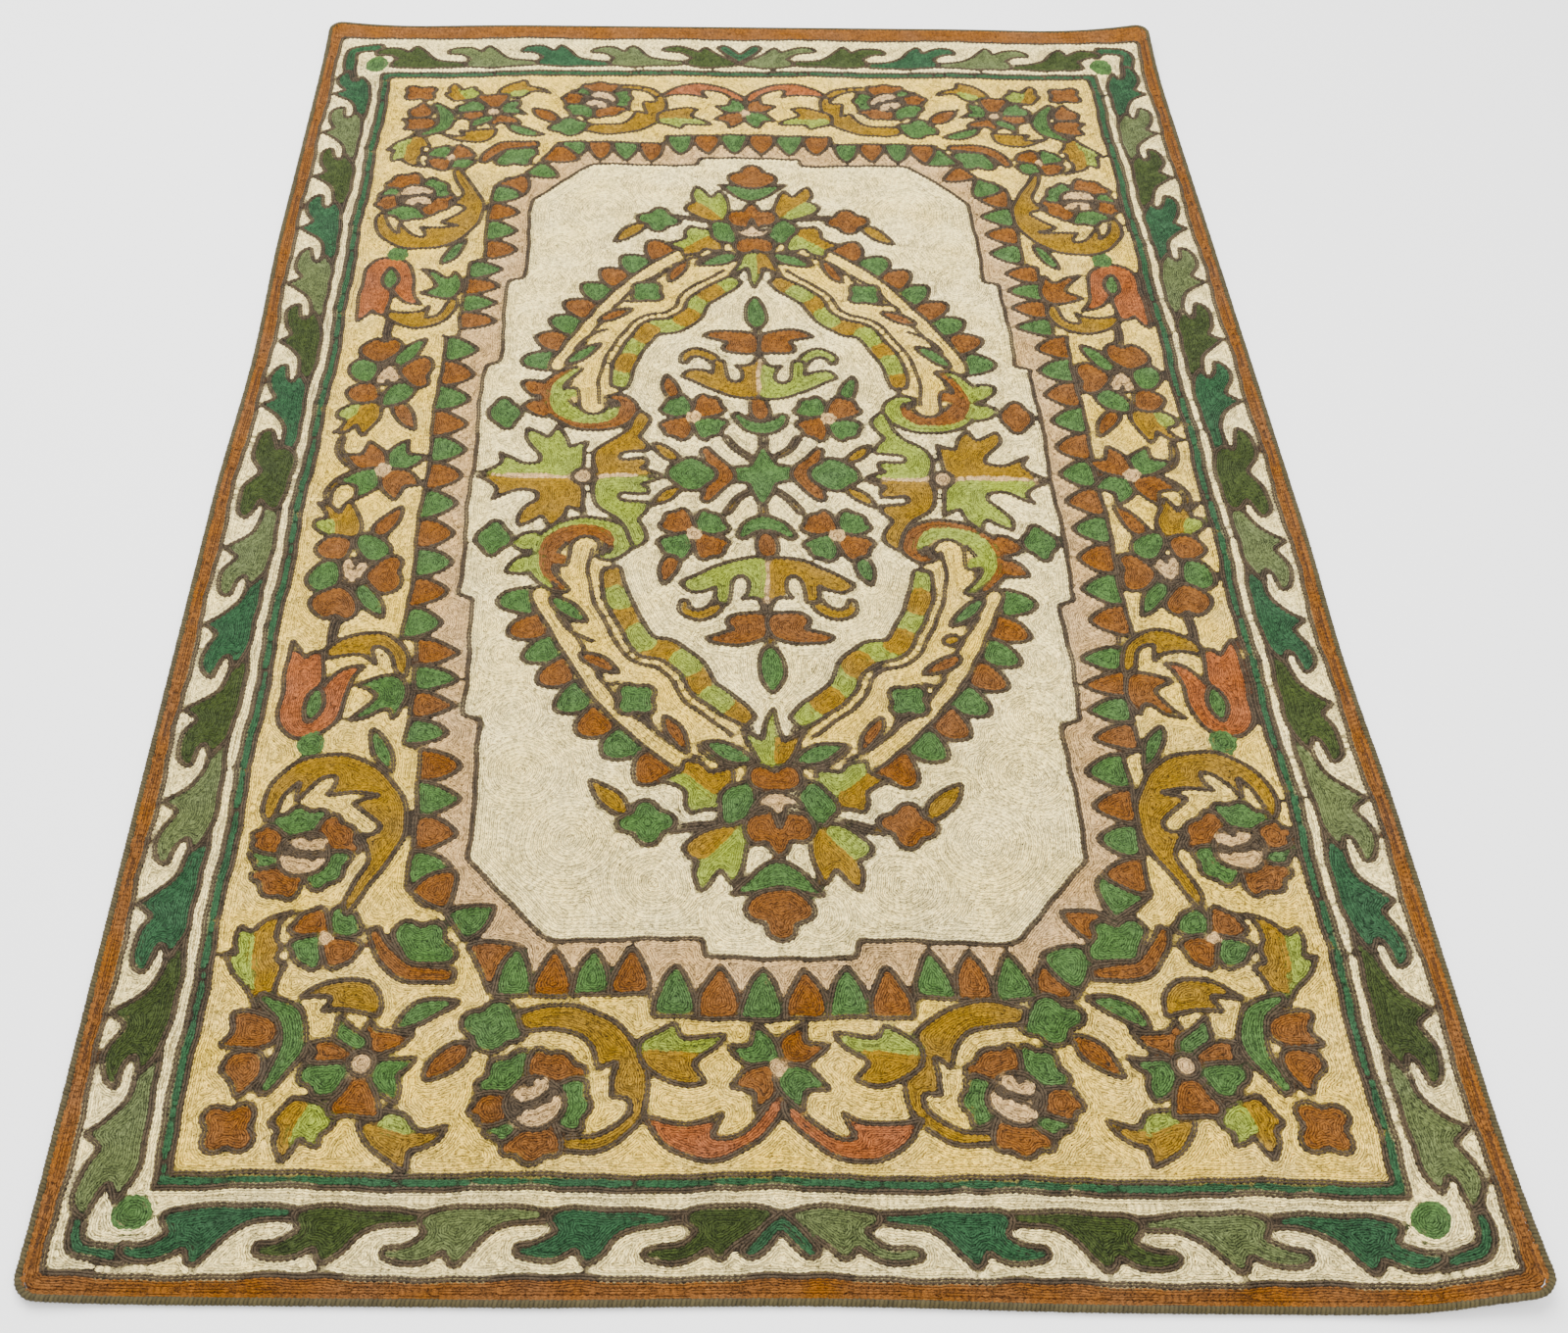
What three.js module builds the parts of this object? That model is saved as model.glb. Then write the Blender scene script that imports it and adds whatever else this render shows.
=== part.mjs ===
// A hand-made rug of chain stitch, lying flat on a floor. It is one cotton cloth, worked all over in
// wool, with a thick overcast edge of wool along each of its four sides. Its corners curl up a
// little, its sides are not quite straight, and its stitches are too small to stand in these solids.
// Millimetres, +Z up, origin on the floor under the middle of the rug, +Y away from the viewer.
import * as THREE from 'three';

// Driving dimensions
const WIDTH = 910;                 // over the overcast edges, along X
const LENGTH = 1440;               // over the overcast edges, along Y
const CLOTH_THICKNESS = 4.6;       // the canvas and the wool worked on it
const EDGE_WIDTH = 5.5;            // an overcast edge, seen from above
const EDGE_HEIGHT = 5.6;           // it stands a little proud of the cloth
const PART_GAP = 0.3;              // between pieces that lie against each other
const CORNER_RADIUS = 17;          // of the whole rug, seen from above

// How high each corner curls up, and how far the curl reaches, measured along both sides together.
const CORNER_CURLS = [
  { corner: 'front_left', sideX: -1, sideY: -1, rise: 5, reach: 95 },
  { corner: 'front_right', sideX: 1, sideY: -1, rise: 14, reach: 150 },
  { corner: 'back_left', sideX: -1, sideY: 1, rise: 9, reach: 125 },
  { corner: 'back_right', sideX: 1, sideY: 1, rise: 14, reach: 140 },
];

// Where a side runs inside the true rectangle: at is a place along the side, depth how far in.
const SIDE_DRAWS = {
  left: [{ at: 140, depth: 4, halfLength: 190 }],
  right: [{ at: -210, depth: 3, halfLength: 150 }],
  front: [{ at: 455, depth: 7, halfLength: 95 }, { at: 20, depth: 2.5, halfLength: 190 }],
  back: [{ at: -455, depth: 7, halfLength: 230 }, { at: 455, depth: 5, halfLength: 230 }],
};
const DRAW_REACH = 190;            // how far into the cloth a drawn-in side is felt

// How finely the cloth and its edges are divided
const MIDDLE_STEPS_X = 10;
const MIDDLE_STEPS_Y = 16;
const END_LENGTH = 130;            // the stretch beside each corner, divided more finely
const END_STEPS = 5;
const CORNER_STEPS = 4;
const EDGE_SIDES = 8;

const HALF_X = WIDTH / 2;
const HALF_Y = LENGTH / 2;

const CLOTH_LOOK = { color: 0xcfb98c, roughness: 0.95, metalness: 0 };
const EDGE_LOOK = { color: 0x6f6552, roughness: 0.95, metalness: 0 };

// The four sides: the way each one faces, the way it runs, and its two half sizes.
const SIDES = [
  { name: 'right', out: [1, 0], run: [0, 1], halfRun: HALF_Y, halfOut: HALF_X, steps: MIDDLE_STEPS_Y },
  { name: 'back', out: [0, 1], run: [-1, 0], halfRun: HALF_X, halfOut: HALF_Y, steps: MIDDLE_STEPS_X },
  { name: 'left', out: [-1, 0], run: [0, -1], halfRun: HALF_Y, halfOut: HALF_X, steps: MIDDLE_STEPS_Y },
  { name: 'front', out: [0, -1], run: [1, 0], halfRun: HALF_X, halfOut: HALF_Y, steps: MIDDLE_STEPS_X },
];

// Rises smoothly from 0 to 1 as t does.
function smooth(t) {
  const share = Math.min(Math.max(t, 0), 1);
  return share * share * (3 - 2 * share);
}

// How far a side is drawn in at one place along it: a smooth bump for each row of its table.
function drawnIn(rows, along) {
  return rows.reduce((sum, row) => sum + row.depth * smooth(1 - Math.abs(along - row.at) / row.halfLength), 0);
}

// A point of the true rectangle, moved in with the sides near it.
function uneven(x, y) {
  const feelX = smooth(1 - (HALF_X - Math.abs(x)) / DRAW_REACH);
  const feelY = smooth(1 - (HALF_Y - Math.abs(y)) / DRAW_REACH);
  const drawX = drawnIn(x < 0 ? SIDE_DRAWS.left : SIDE_DRAWS.right, y);
  const drawY = drawnIn(y < 0 ? SIDE_DRAWS.front : SIDE_DRAWS.back, x);
  return [x - Math.sign(x) * drawX * feelX, y - Math.sign(y) * drawY * feelY];
}

// How high the underside is off the floor: nothing over most of the rug, then up at each corner.
function liftAt(x, y) {
  return CORNER_CURLS.reduce((sum, curl) => {
    const away = (HALF_X - curl.sideX * x) + (HALF_Y - curl.sideY * y);
    return sum + curl.rise * Math.max(0, 1 - away / curl.reach) ** 2;
  }, 0);
}

// A point of the flat, true rug at a height over its underside, in the shape in which the rug lies.
function laid(x, y, height) {
  const [px, py] = uneven(x, y);
  return [px, py, liftAt(px, py) + height];
}

// Places along a straight stretch, closer together at its two ends.
function straightPlaces(half, middleSteps) {
  const inner = half - END_LENGTH;
  const places = [];
  for (let i = -END_STEPS; i < 0; i++) places.push(-inner + END_LENGTH * i / END_STEPS);
  for (let i = 0; i <= middleSteps; i++) places.push(-inner + 2 * inner * i / middleSteps);
  for (let i = 1; i <= END_STEPS; i++) places.push(inner + END_LENGTH * i / END_STEPS);
  return places;
}

// The same, with the rounded corner's places beyond each end.
function clothPlaces(half, radius, middleSteps) {
  const places = straightPlaces(half - radius, middleSteps);
  for (let i = 1; i <= CORNER_STEPS; i++) {
    const place = half - radius + radius * i / CORNER_STEPS;
    places.push(place);
    places.unshift(-place);
  }
  return places;
}

// Rounds a rectangle's corners: each corner's square is carried to a quarter of a disc.
function roundedCorner(x, y, halfX, halfY, radius) {
  const insideX = (Math.abs(x) - (halfX - radius)) / radius;
  const insideY = (Math.abs(y) - (halfY - radius)) / radius;
  if (insideX <= 0 || insideY <= 0) return [x, y];
  const discX = insideX * Math.sqrt(1 - insideY * insideY / 2);
  const discY = insideY * Math.sqrt(1 - insideX * insideX / 2);
  return [
    Math.sign(x) * (halfX - radius + discX * radius),
    Math.sign(y) * (halfY - radius + discY * radius),
  ];
}

function closedGeometry(points, triangles) {
  const geometry = new THREE.BufferGeometry();
  geometry.setAttribute('position', new THREE.Float32BufferAttribute(points.flat(), 3));
  geometry.setIndex(triangles.flat());
  geometry.computeVertexNormals();
  return geometry;
}

// The worked cloth: one grid for its face, one for its underside, and a wall round the two.
function clothGeometry() {
  const inset = EDGE_WIDTH + PART_GAP;
  const radius = CORNER_RADIUS - inset;
  const xs = clothPlaces(HALF_X - inset, radius, MIDDLE_STEPS_X);
  const ys = clothPlaces(HALF_Y - inset, radius, MIDDLE_STEPS_Y);
  const points = [];
  for (const height of [0, CLOTH_THICKNESS]) {
    for (const y of ys) {
      for (const x of xs) {
        const [roundX, roundY] = roundedCorner(x, y, HALF_X - inset, HALF_Y - inset, radius);
        points.push(laid(roundX, roundY, height));
      }
    }
  }
  const lastColumn = xs.length - 1;
  const lastRow = ys.length - 1;
  const under = (column, row) => row * xs.length + column;
  const face = (column, row) => points.length / 2 + under(column, row);
  const triangles = [];
  const quad = (a, b, c, d) => triangles.push([a, b, c], [a, c, d]);
  const wall = (c0, r0, c1, r1) => quad(under(c0, r0), under(c1, r1), face(c1, r1), face(c0, r0));
  for (let r = 0; r < lastRow; r++) {
    for (let c = 0; c < lastColumn; c++) {
      quad(face(c, r), face(c + 1, r), face(c + 1, r + 1), face(c, r + 1));
      quad(under(c, r), under(c, r + 1), under(c + 1, r + 1), under(c + 1, r));
    }
  }
  for (let c = 0; c < lastColumn; c++) {
    wall(c, 0, c + 1, 0);
    wall(c + 1, lastRow, c, lastRow);
  }
  for (let r = 0; r < lastRow; r++) {
    wall(lastColumn, r, lastColumn, r + 1);
    wall(0, r + 1, 0, r);
  }
  return closedGeometry(points, triangles);
}

// The line that one overcast edge follows: an eighth of a turn round the corner at each end, and
// straight between. along runs with the side, away is the distance from the rug's middle, and turn
// is how far the edge has turned from facing straight out.
function edgeLine(side) {
  const radius = CORNER_RADIUS - EDGE_WIDTH / 2;
  const straight = side.halfRun - CORNER_RADIUS;
  const centre = side.halfOut - CORNER_RADIUS;
  const mitre = Math.PI / 4 - PART_GAP / 2 / radius;
  const bend = (end, turn) => ({
    along: end + radius * Math.sin(turn),
    away: centre + radius * Math.cos(turn),
    turn,
  });
  const line = [];
  for (let i = CORNER_STEPS; i > 0; i--) line.push(bend(-straight, -mitre * i / CORNER_STEPS));
  for (const place of straightPlaces(straight, side.steps)) {
    line.push({ along: place, away: centre + radius, turn: 0 });
  }
  for (let i = 1; i <= CORNER_STEPS; i++) line.push(bend(straight, mitre * i / CORNER_STEPS));
  return line;
}

// One overcast edge: an oval section, flat above and below, carried along its side.
function edgeGeometry(side) {
  const line = edgeLine(side);
  const halfSector = Math.PI / EDGE_SIDES;
  const points = [];
  for (const { along, away, turn } of line) {
    for (let k = 0; k < EDGE_SIDES; k++) {
      const angle = (2 * k + 1) * halfSector;
      const outward = EDGE_WIDTH / 2 * Math.cos(angle) / Math.cos(halfSector);
      const height = EDGE_HEIGHT / 2 * (1 + Math.sin(angle) / Math.cos(halfSector));
      const u = along + outward * Math.sin(turn);
      const v = away + outward * Math.cos(turn);
      points.push(laid(side.run[0] * u + side.out[0] * v, side.run[1] * u + side.out[1] * v, height));
    }
  }
  const triangles = [];
  for (let i = 0; i < line.length - 1; i++) {
    for (let k = 0; k < EDGE_SIDES; k++) {
      const a = i * EDGE_SIDES + k;
      const b = i * EDGE_SIDES + (k + 1) % EDGE_SIDES;
      triangles.push([a, a + EDGE_SIDES, b + EDGE_SIDES], [a, b + EDGE_SIDES, b]);
    }
  }
  const end = (line.length - 1) * EDGE_SIDES;
  for (let k = 1; k < EDGE_SIDES - 1; k++) {
    triangles.push([0, k, k + 1], [end, end + k + 1, end + k]);
  }
  return closedGeometry(points, triangles);
}

function namedMesh(name, geometry, look) {
  const mesh = new THREE.Mesh(geometry, new THREE.MeshStandardMaterial(look));
  mesh.name = name;
  return mesh;
}

const rug = new THREE.Group();
rug.add(namedMesh('worked_cloth', clothGeometry(), CLOTH_LOOK));
for (const side of SIDES) rug.add(namedMesh(`overcast_edge_${side.name}`, edgeGeometry(side), EDGE_LOOK));

export default rug;
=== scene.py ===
import math

import bpy
import numpy as np
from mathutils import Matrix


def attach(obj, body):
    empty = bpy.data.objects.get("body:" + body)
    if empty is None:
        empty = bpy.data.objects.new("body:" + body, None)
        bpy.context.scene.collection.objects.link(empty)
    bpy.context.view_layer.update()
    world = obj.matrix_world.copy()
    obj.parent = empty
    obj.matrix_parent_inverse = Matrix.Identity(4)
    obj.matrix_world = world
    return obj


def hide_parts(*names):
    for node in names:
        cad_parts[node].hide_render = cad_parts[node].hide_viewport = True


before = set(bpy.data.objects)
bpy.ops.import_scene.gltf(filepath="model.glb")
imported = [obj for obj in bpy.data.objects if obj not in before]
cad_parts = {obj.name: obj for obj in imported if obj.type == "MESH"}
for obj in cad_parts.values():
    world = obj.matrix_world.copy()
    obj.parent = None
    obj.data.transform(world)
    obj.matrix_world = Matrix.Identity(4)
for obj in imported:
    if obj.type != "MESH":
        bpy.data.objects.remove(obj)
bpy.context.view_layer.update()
MM = 0.001

# The camera looks down on the rug from just beyond its front edge, as someone does who
# stands at the rug and holds a camera at waist height.
CAMERA_PLACE = (-0.072, -1.091, 1.014)
CAMERA_TURN = (39.93, -0.40, 0.34)
CAMERA_LENS = 39.71
CAMERA_SHIFT = (0.0721, 0.0135)

camera_data = bpy.data.cameras.new("camera")
camera_data.lens = CAMERA_LENS
camera_data.shift_x, camera_data.shift_y = CAMERA_SHIFT
camera = bpy.data.objects.new("camera", camera_data)
camera.location = CAMERA_PLACE
camera.rotation_euler = [math.radians(angle) for angle in CAMERA_TURN]
bpy.context.collection.objects.link(camera)
bpy.context.scene.camera = camera

# The design is drawn on the canvas before any stitch is worked. Every motif is drawn from given places
# and sizes, in millimetres, and laid out from the middle of the rug: first the
# borders, then the toothed field, the flowers on the gold ground, and the medallion.


def cubics(start, end, slope, next_slope, steps):
    """A cubic from each start to its end, which leaves with one slope and arrives with the next:
    (2t^3 - 3t^2 + 1) start + (t^3 - 2t^2 + t) slope + (3t^2 - 2t^3) end + (t^3 - t^2) next slope."""
    t = (np.arange(steps) / steps)[None, :, None]
    curve = ((2 * t**3 - 3 * t**2 + 1) * start + (t**3 - 2 * t**2 + t) * slope
             + (3 * t**2 - 2 * t**3) * end + (t**3 - t**2) * next_slope)
    return curve.reshape(-1, 2)


def rounded(rows, steps=7):
    """A closed outline of cubics through given places. It leaves a place (x, y) along the
    line from its neighbour before to its neighbour after, and has only a share of that slope at
    a place (x, y, share), so that (x, y, 0) is a sharp corner."""
    table = np.array([(row[0], row[1], row[2] if len(row) > 2 else 1.0) for row in rows], float)
    start = table[:, None, :2]
    end = np.roll(start, -1, axis=0)
    slope = 0.5 * (end - np.roll(start, 1, axis=0)) * table[:, None, 2:]
    return cubics(start, end, slope, np.roll(slope, -1, axis=0), steps)


def flowing(rows, steps=8):
    """An open line through given places: the same cubics, from the first to the last."""
    table = np.array([rows[0], *rows, rows[-1]], float)
    start, end = table[1:-2, None], table[2:-1, None]
    slope, next_slope = 0.5 * (end - table[:-3, None]), 0.5 * (table[3:, None] - start)
    return np.vstack([cubics(start, end, slope, next_slope, steps), table[-1:]])


def both_sides(half):
    """Places on one side of the line x = 0, and their mirror copies back on its other side."""
    return [*half, *((-row[0], *row[1:]) for row in reversed(half) if row[0])]


def beside(rows, far):
    """The flowing line through rows, moved sideways to its left by far."""
    line = flowing(rows)
    along = np.gradient(line, axis=0)
    along /= np.linalg.norm(along, axis=1, keepdims=True)
    return line + far * np.stack([-along[:, 1], along[:, 0]], axis=1)


def ribbon(rows, widths):
    """A closed band: the flowing line through rows, moved sideways by half its width there,
    out along one side and back along the other. widths are spread evenly from end to end."""
    place = np.linspace(0, len(widths) - 1, len(flowing(rows)))
    half = 0.5 * np.interp(place, np.arange(len(widths)), widths)[:, None]
    return np.vstack([beside(rows, half), beside(rows, -half)[::-1]])


def lobed(across, lobes=4, depth=0.16, turn=0.0, squash=1.0):
    """A blossom round (0, 0): a circle whose radius dips by depth between its lobes."""
    angle = np.linspace(0, 2 * np.pi, 10 * lobes, endpoint=False)
    dip = 1 - np.abs(np.cos(0.5 * lobes * (angle - math.radians(turn))))
    radius = 0.5 * across * (1 - depth * dip)
    return np.stack([radius * np.cos(angle), squash * radius * np.sin(angle)], axis=1)


def almond(length, width, bend=0.0):
    """A leaf from (0, 0) to (length, 0): half of it is a sine bulge, fullest before the
    middle, and its middle line bows sideways by bend."""
    t = np.linspace(0, 1, 14)
    half = 0.5 * width * np.sin(np.pi * t**0.85) ** 0.75
    middle = bend * np.sin(np.pi * t)
    there = np.stack([length * t, middle + half], axis=1)
    back = np.stack([length * t, middle - half], axis=1)[::-1]
    return np.vstack([there, back[1:-1]])


def disc(across):
    """A circle round (0, 0)."""
    return lobed(across, lobes=3, depth=0.0)


def moved(points, x=0.0, y=0.0, turn=0.0, size=1.0):
    """Points sized, then turned in degrees, then moved."""
    points = np.array(points, float) * size
    c, s = math.cos(math.radians(turn)), math.sin(math.radians(turn))
    return np.stack([x + points[:, 0] * c - points[:, 1] * s,
                     y + points[:, 0] * s + points[:, 1] * c], axis=1)


# A drawn shape is (kind, points, yarn). A "worked" shape has a row of grey-brown round it, a
# "plain" one has none, an "inlay" only colours what it covers of the shape before it, and a
# "row" is an open line of grey-brown.


def put(shapes, x=0.0, y=0.0, turn=0.0):
    """A copy of some shapes, turned and moved to a place."""
    return [(kind, moved(points, x, y, turn), yarn) for kind, points, yarn in shapes]


def mirrored(shapes, across_x=None, across_y=None, swap=None):
    """A mirror copy of some shapes, in the line x = across_x or y = across_y, or in both, with
    their yarns changed as swap says."""
    swap = swap or {}
    copies = []
    for kind, points, yarn in shapes:
        points = points.copy()
        if across_x is not None:
            points[:, 0] = 2 * across_x - points[:, 0]
        if across_y is not None:
            points[:, 1] = 2 * across_y - points[:, 1]
        copies.append((kind, points, swap.get(yarn, yarn)))
    return copies


def inside(points, outline):
    """Which points lie inside a closed outline: those whose ray along +x meets it an odd number
    of times."""
    x, y = points[:, :1], points[:, 1:]
    x0, y0 = outline[:, 0], outline[:, 1]
    x1, y1 = np.roll(x0, -1), np.roll(y0, -1)
    spans = (y0 > y) != (y1 > y)
    rise = np.where(y1 == y0, 1.0, y1 - y0)
    return np.count_nonzero(spans & (x < x0 + (y - y0) * (x1 - x0) / rise), axis=1) % 2 == 1


def merged(shapes):
    """Shapes with no row between them: all are filled, then the part of each one's outline that
    lies in none of the others is drawn as rows."""
    fills = [("plain", points, yarn) for _, points, yarn in shapes]
    rows = []
    for k, (_, points, _) in enumerate(shapes):
        line = np.vstack([points, points[:1]])
        hidden = np.zeros(len(line), bool)
        for other in shapes[:k] + shapes[k + 1:]:
            hidden |= inside(line, other[1])
        runs = np.flatnonzero(np.diff(np.concatenate([[True], hidden, [True]]).astype(int)))
        rows += [("row", line[max(first - 1, 0):last + 1], "bark")
                 for first, last in zip(runs[::2], runs[1::2])]
    return fills + rows


def worked(yarn, points, *place, **options):
    """A shape with a row of grey-brown round it, at a place."""
    return ("worked", moved(points, *place, **options), yarn)


def plain(yarn, points, *place, **options):
    """A shape with no row round it, at a place."""
    return ("plain", moved(points, *place, **options), yarn)


def inlay(yarn, points, *place, **options):
    """Another yarn in a part of the shape before it."""
    return ("inlay", moved(points, *place, **options), yarn)


def row(rows):
    """An open line of grey-brown through given places."""
    return ("row", flowing(rows), "bark")


def box(left, front, right, back):
    """A rectangle between two of its corners."""
    return [(left, front), (right, front), (right, back), (left, back)]


# Borders. From the edge inwards: a rust band, an ivory border of running leaves, and a guard
# stripe of dark green between two grey-brown rows, round the gold ground.
BAND_HALF = (456.0, 721.0)
BORDER_HALF = (439.0, 702.5)
GUARD_HALF = (386.0, 647.0)
GROUND_HALF = (377.0, 638.0)
LEAF_PITCH = 82
# A running leaf, (along, out), from its tail round its barb at along = 0 to its hanging head. On
# the long sides it has an inner finger too.
SIDE_LEAF = rounded([
    (-62, 1, 0), (-34, -1), (0, -1), (24, 1), (42, 10, 0.3), (36, 13), (30, 16, 0.4), (36, 21), (52, 24, 0.3),
    (48, 32), (36, 36), (22, 34), (9, 27, 0.4), (0, 39, 0), (-8, 28), (-18, 18), (-32, 13), (-62, 11, 0),
])
END_LEAF = rounded([
    (-66, 3, 0), (-40, 0), (-8, -1), (14, 0), (25, 4), (24, 12), (20, 17, 0.4), (32, 25), (45, 26, 0.4),
    (46, 33), (34, 38), (20, 37), (8, 29, 0.4), (5, 37), (0, 41, 0), (-9, 32), (-18, 20), (-30, 13),
    (-48, 10), (-66, 9, 0),
])
# The first leaf on each side of an end's middle has no tail, and the one at the middle of a long
# side has a head at both ends.
FIRST_LEAF = rounded([
    (0, 6, 0), (10, 1), (32, -2), (52, 0), (58, 5), (56, 12), (50, 15, 0.4), (62, 25), (80, 27), (83, 34),
    (68, 38), (54, 34), (44, 28, 0.4), (41, 35), (36, 38, 0), (28, 28), (14, 17),
])
MIDDLE_LEAF = rounded([
    (-38, 0), (0, -2), (22, 0), (33, 9), (29, 17, 0.4), (42, 21), (56, 26, 0.3), (50, 34), (37, 37), (17, 34),
    (2, 24, 0.3), (-14, 34), (-30, 37), (-46, 35), (-54, 27, 0.3), (-42, 22), (-31, 18, 0.4), (-42, 12),
    (-45, 5),
])
# Each run of leaves: the way it runs, its inner line, its first barb, its pitch, and its yarns.
LEAF_RUNS = (
    ("along_y", -397, 75, 87, "teal olive sage teal olive sage teal"),
    ("along_y", -397, -100, -85.6, "sage teal olive sage teal olive sage"),
    ("along_y", 396, 92, 86, "teal olive sage teal olive sage teal"),
    ("along_y", 396, -82, -87, "sage teal olive sage teal olive sage"),
    ("along_x", -659.5, -38, -78.5, "olive teal sage olive teal"),
    ("along_x", -659.5, 36, 79.0, "sage teal olive sage teal"),
    ("along_x", 654, -37, -79.5, "olive sage teal sage olive"),
    ("along_x", 654, 34, 79.5, "sage olive teal sage olive"),
)
MIDDLE_LEAVES = (("along_y", -395, -12), ("along_y", 396, 0))
HANGING_LINES = (-657, 657)
END_LEAF_DEPTH = 0.88              # the share of its drawn depth that a leaf has on the two ends


def on_border(leaf, way, line, place, stretch=1.0):
    """A leaf drawn along +x and out along +y, stood on a border's inner line at a place."""
    along = place + leaf[:, 0] * stretch
    out = line + leaf[:, 1] * math.copysign(END_LEAF_DEPTH if way == "along_x" else 1.0, line)
    return np.stack([along, out] if way == "along_x" else [out, along], axis=1)


def running_leaves():
    """The leaves of every run. A leaf's head lies over the next one's tail, so each run is drawn
    from its far end. At each rug end's middle a green leaf of two fingers hangs between runs."""
    shapes = []
    for way, line, first, pitch, yarns in LEAF_RUNS:
        leaf = SIDE_LEAF if way == "along_y" else END_LEAF
        for k, yarn in reversed(list(enumerate(yarns.split()))):
            if k == 0 and way == "along_x":
                points = on_border(FIRST_LEAF, way, line, 0, math.copysign(1.0, pitch))
            else:
                points = on_border(leaf, way, line, first + k * pitch, pitch / LEAF_PITCH)
            shapes.append(worked(yarn, points))
    for way, line, place in MIDDLE_LEAVES:
        shapes.append(worked("olive", on_border(MIDDLE_LEAF, way, line, place)))
    hanging = rounded(both_sides([(0, 6, 0), (13, 20), (24, 34, 0.4), (18, 39), (10, 34), (0, 21, 0)]))
    return shapes + [worked("teal", on_border(hanging, "along_x", line, 0)) for line in HANGING_LINES]


def border_corner(stem_top, width):
    """The front left corner: a green dot inside an L of stem, which joins the two borders."""
    stem = [stem_top, (-425, -677), (-421, -686), (-408, -689), (-392, -690)]
    return [worked("teal", ribbon(stem, (width, width, 10, 10, 10))), plain("grass", disc(24), -395, -663)]


def borders():
    """The rust band, the ivory border with its leaves, and the guard stripe."""
    corner, far_corner = border_corner((-424, -662), 9), border_corner((-419, -638), 12)
    return ([plain("rust", box(-BAND_HALF[0], -BAND_HALF[1], *BAND_HALF)),
             worked("ivory", box(-BORDER_HALF[0], -BORDER_HALF[1], *BORDER_HALF))]
            + corner + mirrored(corner, across_x=0) + mirrored(far_corner, across_y=-1)
            + mirrored(far_corner, across_x=0, across_y=-1) + running_leaves()
            + [worked("teal", box(-GUARD_HALF[0], -GUARD_HALF[1], *GUARD_HALF)),
               worked("gold", box(-GROUND_HALF[0], -GROUND_HALF[1], *GROUND_HALF))])


# The toothed band, and the ivory field inside it. Both are long octagons with small steps in
# their sides. These are the corners of their front left quarter, measured from the field's middle.
FIELD_CENTRE = (6.0, -8.5)
BAND_OUTER = [(-285, 0), (-285, -177), (-273, -180), (-273, -294), (-259, -297), (-259, -420),
              (-246, -434), (-228, -441), (-216, -456), (-195, -503), (-87, -503), (-85, -519), (0, -519)]
FIELD_OUTER = [(-246, 0), (-246, -142), (-233, -147), (-233, -264), (-218, -268), (-218, -394),
               (-164, -457), (-155, -460), (-54, -460), (-52, -473), (0, -473)]
# Where the teeth stand on the outer line: from, to, how many, and how deep. The runs between the
# one at the left and the one at the front are mirrored beyond it.
LEFT_TEETH = ((-285, 179), (-285, -190), 11, 31)
SLANT_TEETH = (((-273, -190), (-273, -294), 4, 33), ((-259, -297), (-259, -420), 4, 31),
               ((-256, -424), (-230, -441), 1, 32), ((-229, -442), (-214, -464), 1, 32),
               ((-213, -467), (-198, -498), 1, 34), ((-193, -503), (-88, -503), 4, 36))
FRONT_TEETH = ((-85, -519), (85, -519), 6, 38)


def whole_octagon(quarter):
    """The quarter's corners, and their mirror copies, in order round the field."""
    left_front = np.array(quarter, float)
    right_front = (left_front * (-1, 1))[::-1]
    front = np.vstack([left_front, right_front[1:]])
    back = (front * (1, -1))[::-1]
    return np.vstack([front, back[1:-1]]) + FIELD_CENTRE


def tooth(width, depth, swell=0.5):
    """A tooth on a foot along x: its sides swell, then run in to a blunt point."""
    half = 0.5 * width
    return rounded(both_sides([(-half, 0, 0), (-0.95 * half, 0.36 * depth), (-swell * half, 0.78 * depth),
                               (0, depth, 0.4)]), steps=4)


def teeth():
    """Teeth all the way round, green and rust in turn. The back half turns the front half's."""
    shapes = []
    beyond = [((-x1, y1), (-x0, y0), count, depth) for (x0, y0), (x1, y1), count, depth in SLANT_TEETH]
    runs = [LEFT_TEETH, *SLANT_TEETH, FRONT_TEETH, *reversed(beyond)]
    turned = [((-x0, -y0), (-x1, -y1), count, depth) for (x0, y0), (x1, y1), count, depth in runs]
    for start, end, count, depth in runs + turned:
        start, end = np.array(start, float), np.array(end, float)
        along = (end - start) / count
        turn = math.degrees(math.atan2(along[1], along[0]))
        for k in range(count):
            x, y = start + along * (k + 0.5) + FIELD_CENTRE
            yarn = ("grass", "rust")[len(shapes) % 2]
            shapes.append(worked(yarn, tooth(np.linalg.norm(along) - 1, depth), x, y, turn))
    return shapes


def toothed_field():
    """The blush band with its teeth, and the ivory field over their feet."""
    return ([worked("blush", whole_octagon(BAND_OUTER))] + teeth()
            + [worked("ivory", whole_octagon(FIELD_OUTER))])


# Flowers on the gold ground. One group for the rug's front left corner, one for half of its
# front, and one for half of its left side are drawn, and mirrored to the other places.


def half_leaf_colour(points, yarn):
    """The part of a leaf drawn along +x that lies under its middle line, y = 0."""
    below = points.copy()
    below[:, 1] = np.minimum(below[:, 1], 0)
    return inlay(yarn, below)


def forked_leaf(upper, lower):
    """A short leaf along +x that ends in a long point, with one barb on each side."""
    outline = rounded([
        (0, -9), (0, 7), (10, 13), (24, 20, 0), (28, 10, 0.4), (40, 11), (56, 12, 0), (50, 3), (38, -4),
        (33, -9, 0.4), (41, -21, 0), (28, -24), (14, -19)])
    return [worked(upper, outline), half_leaf_colour(outline, lower)]


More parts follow.
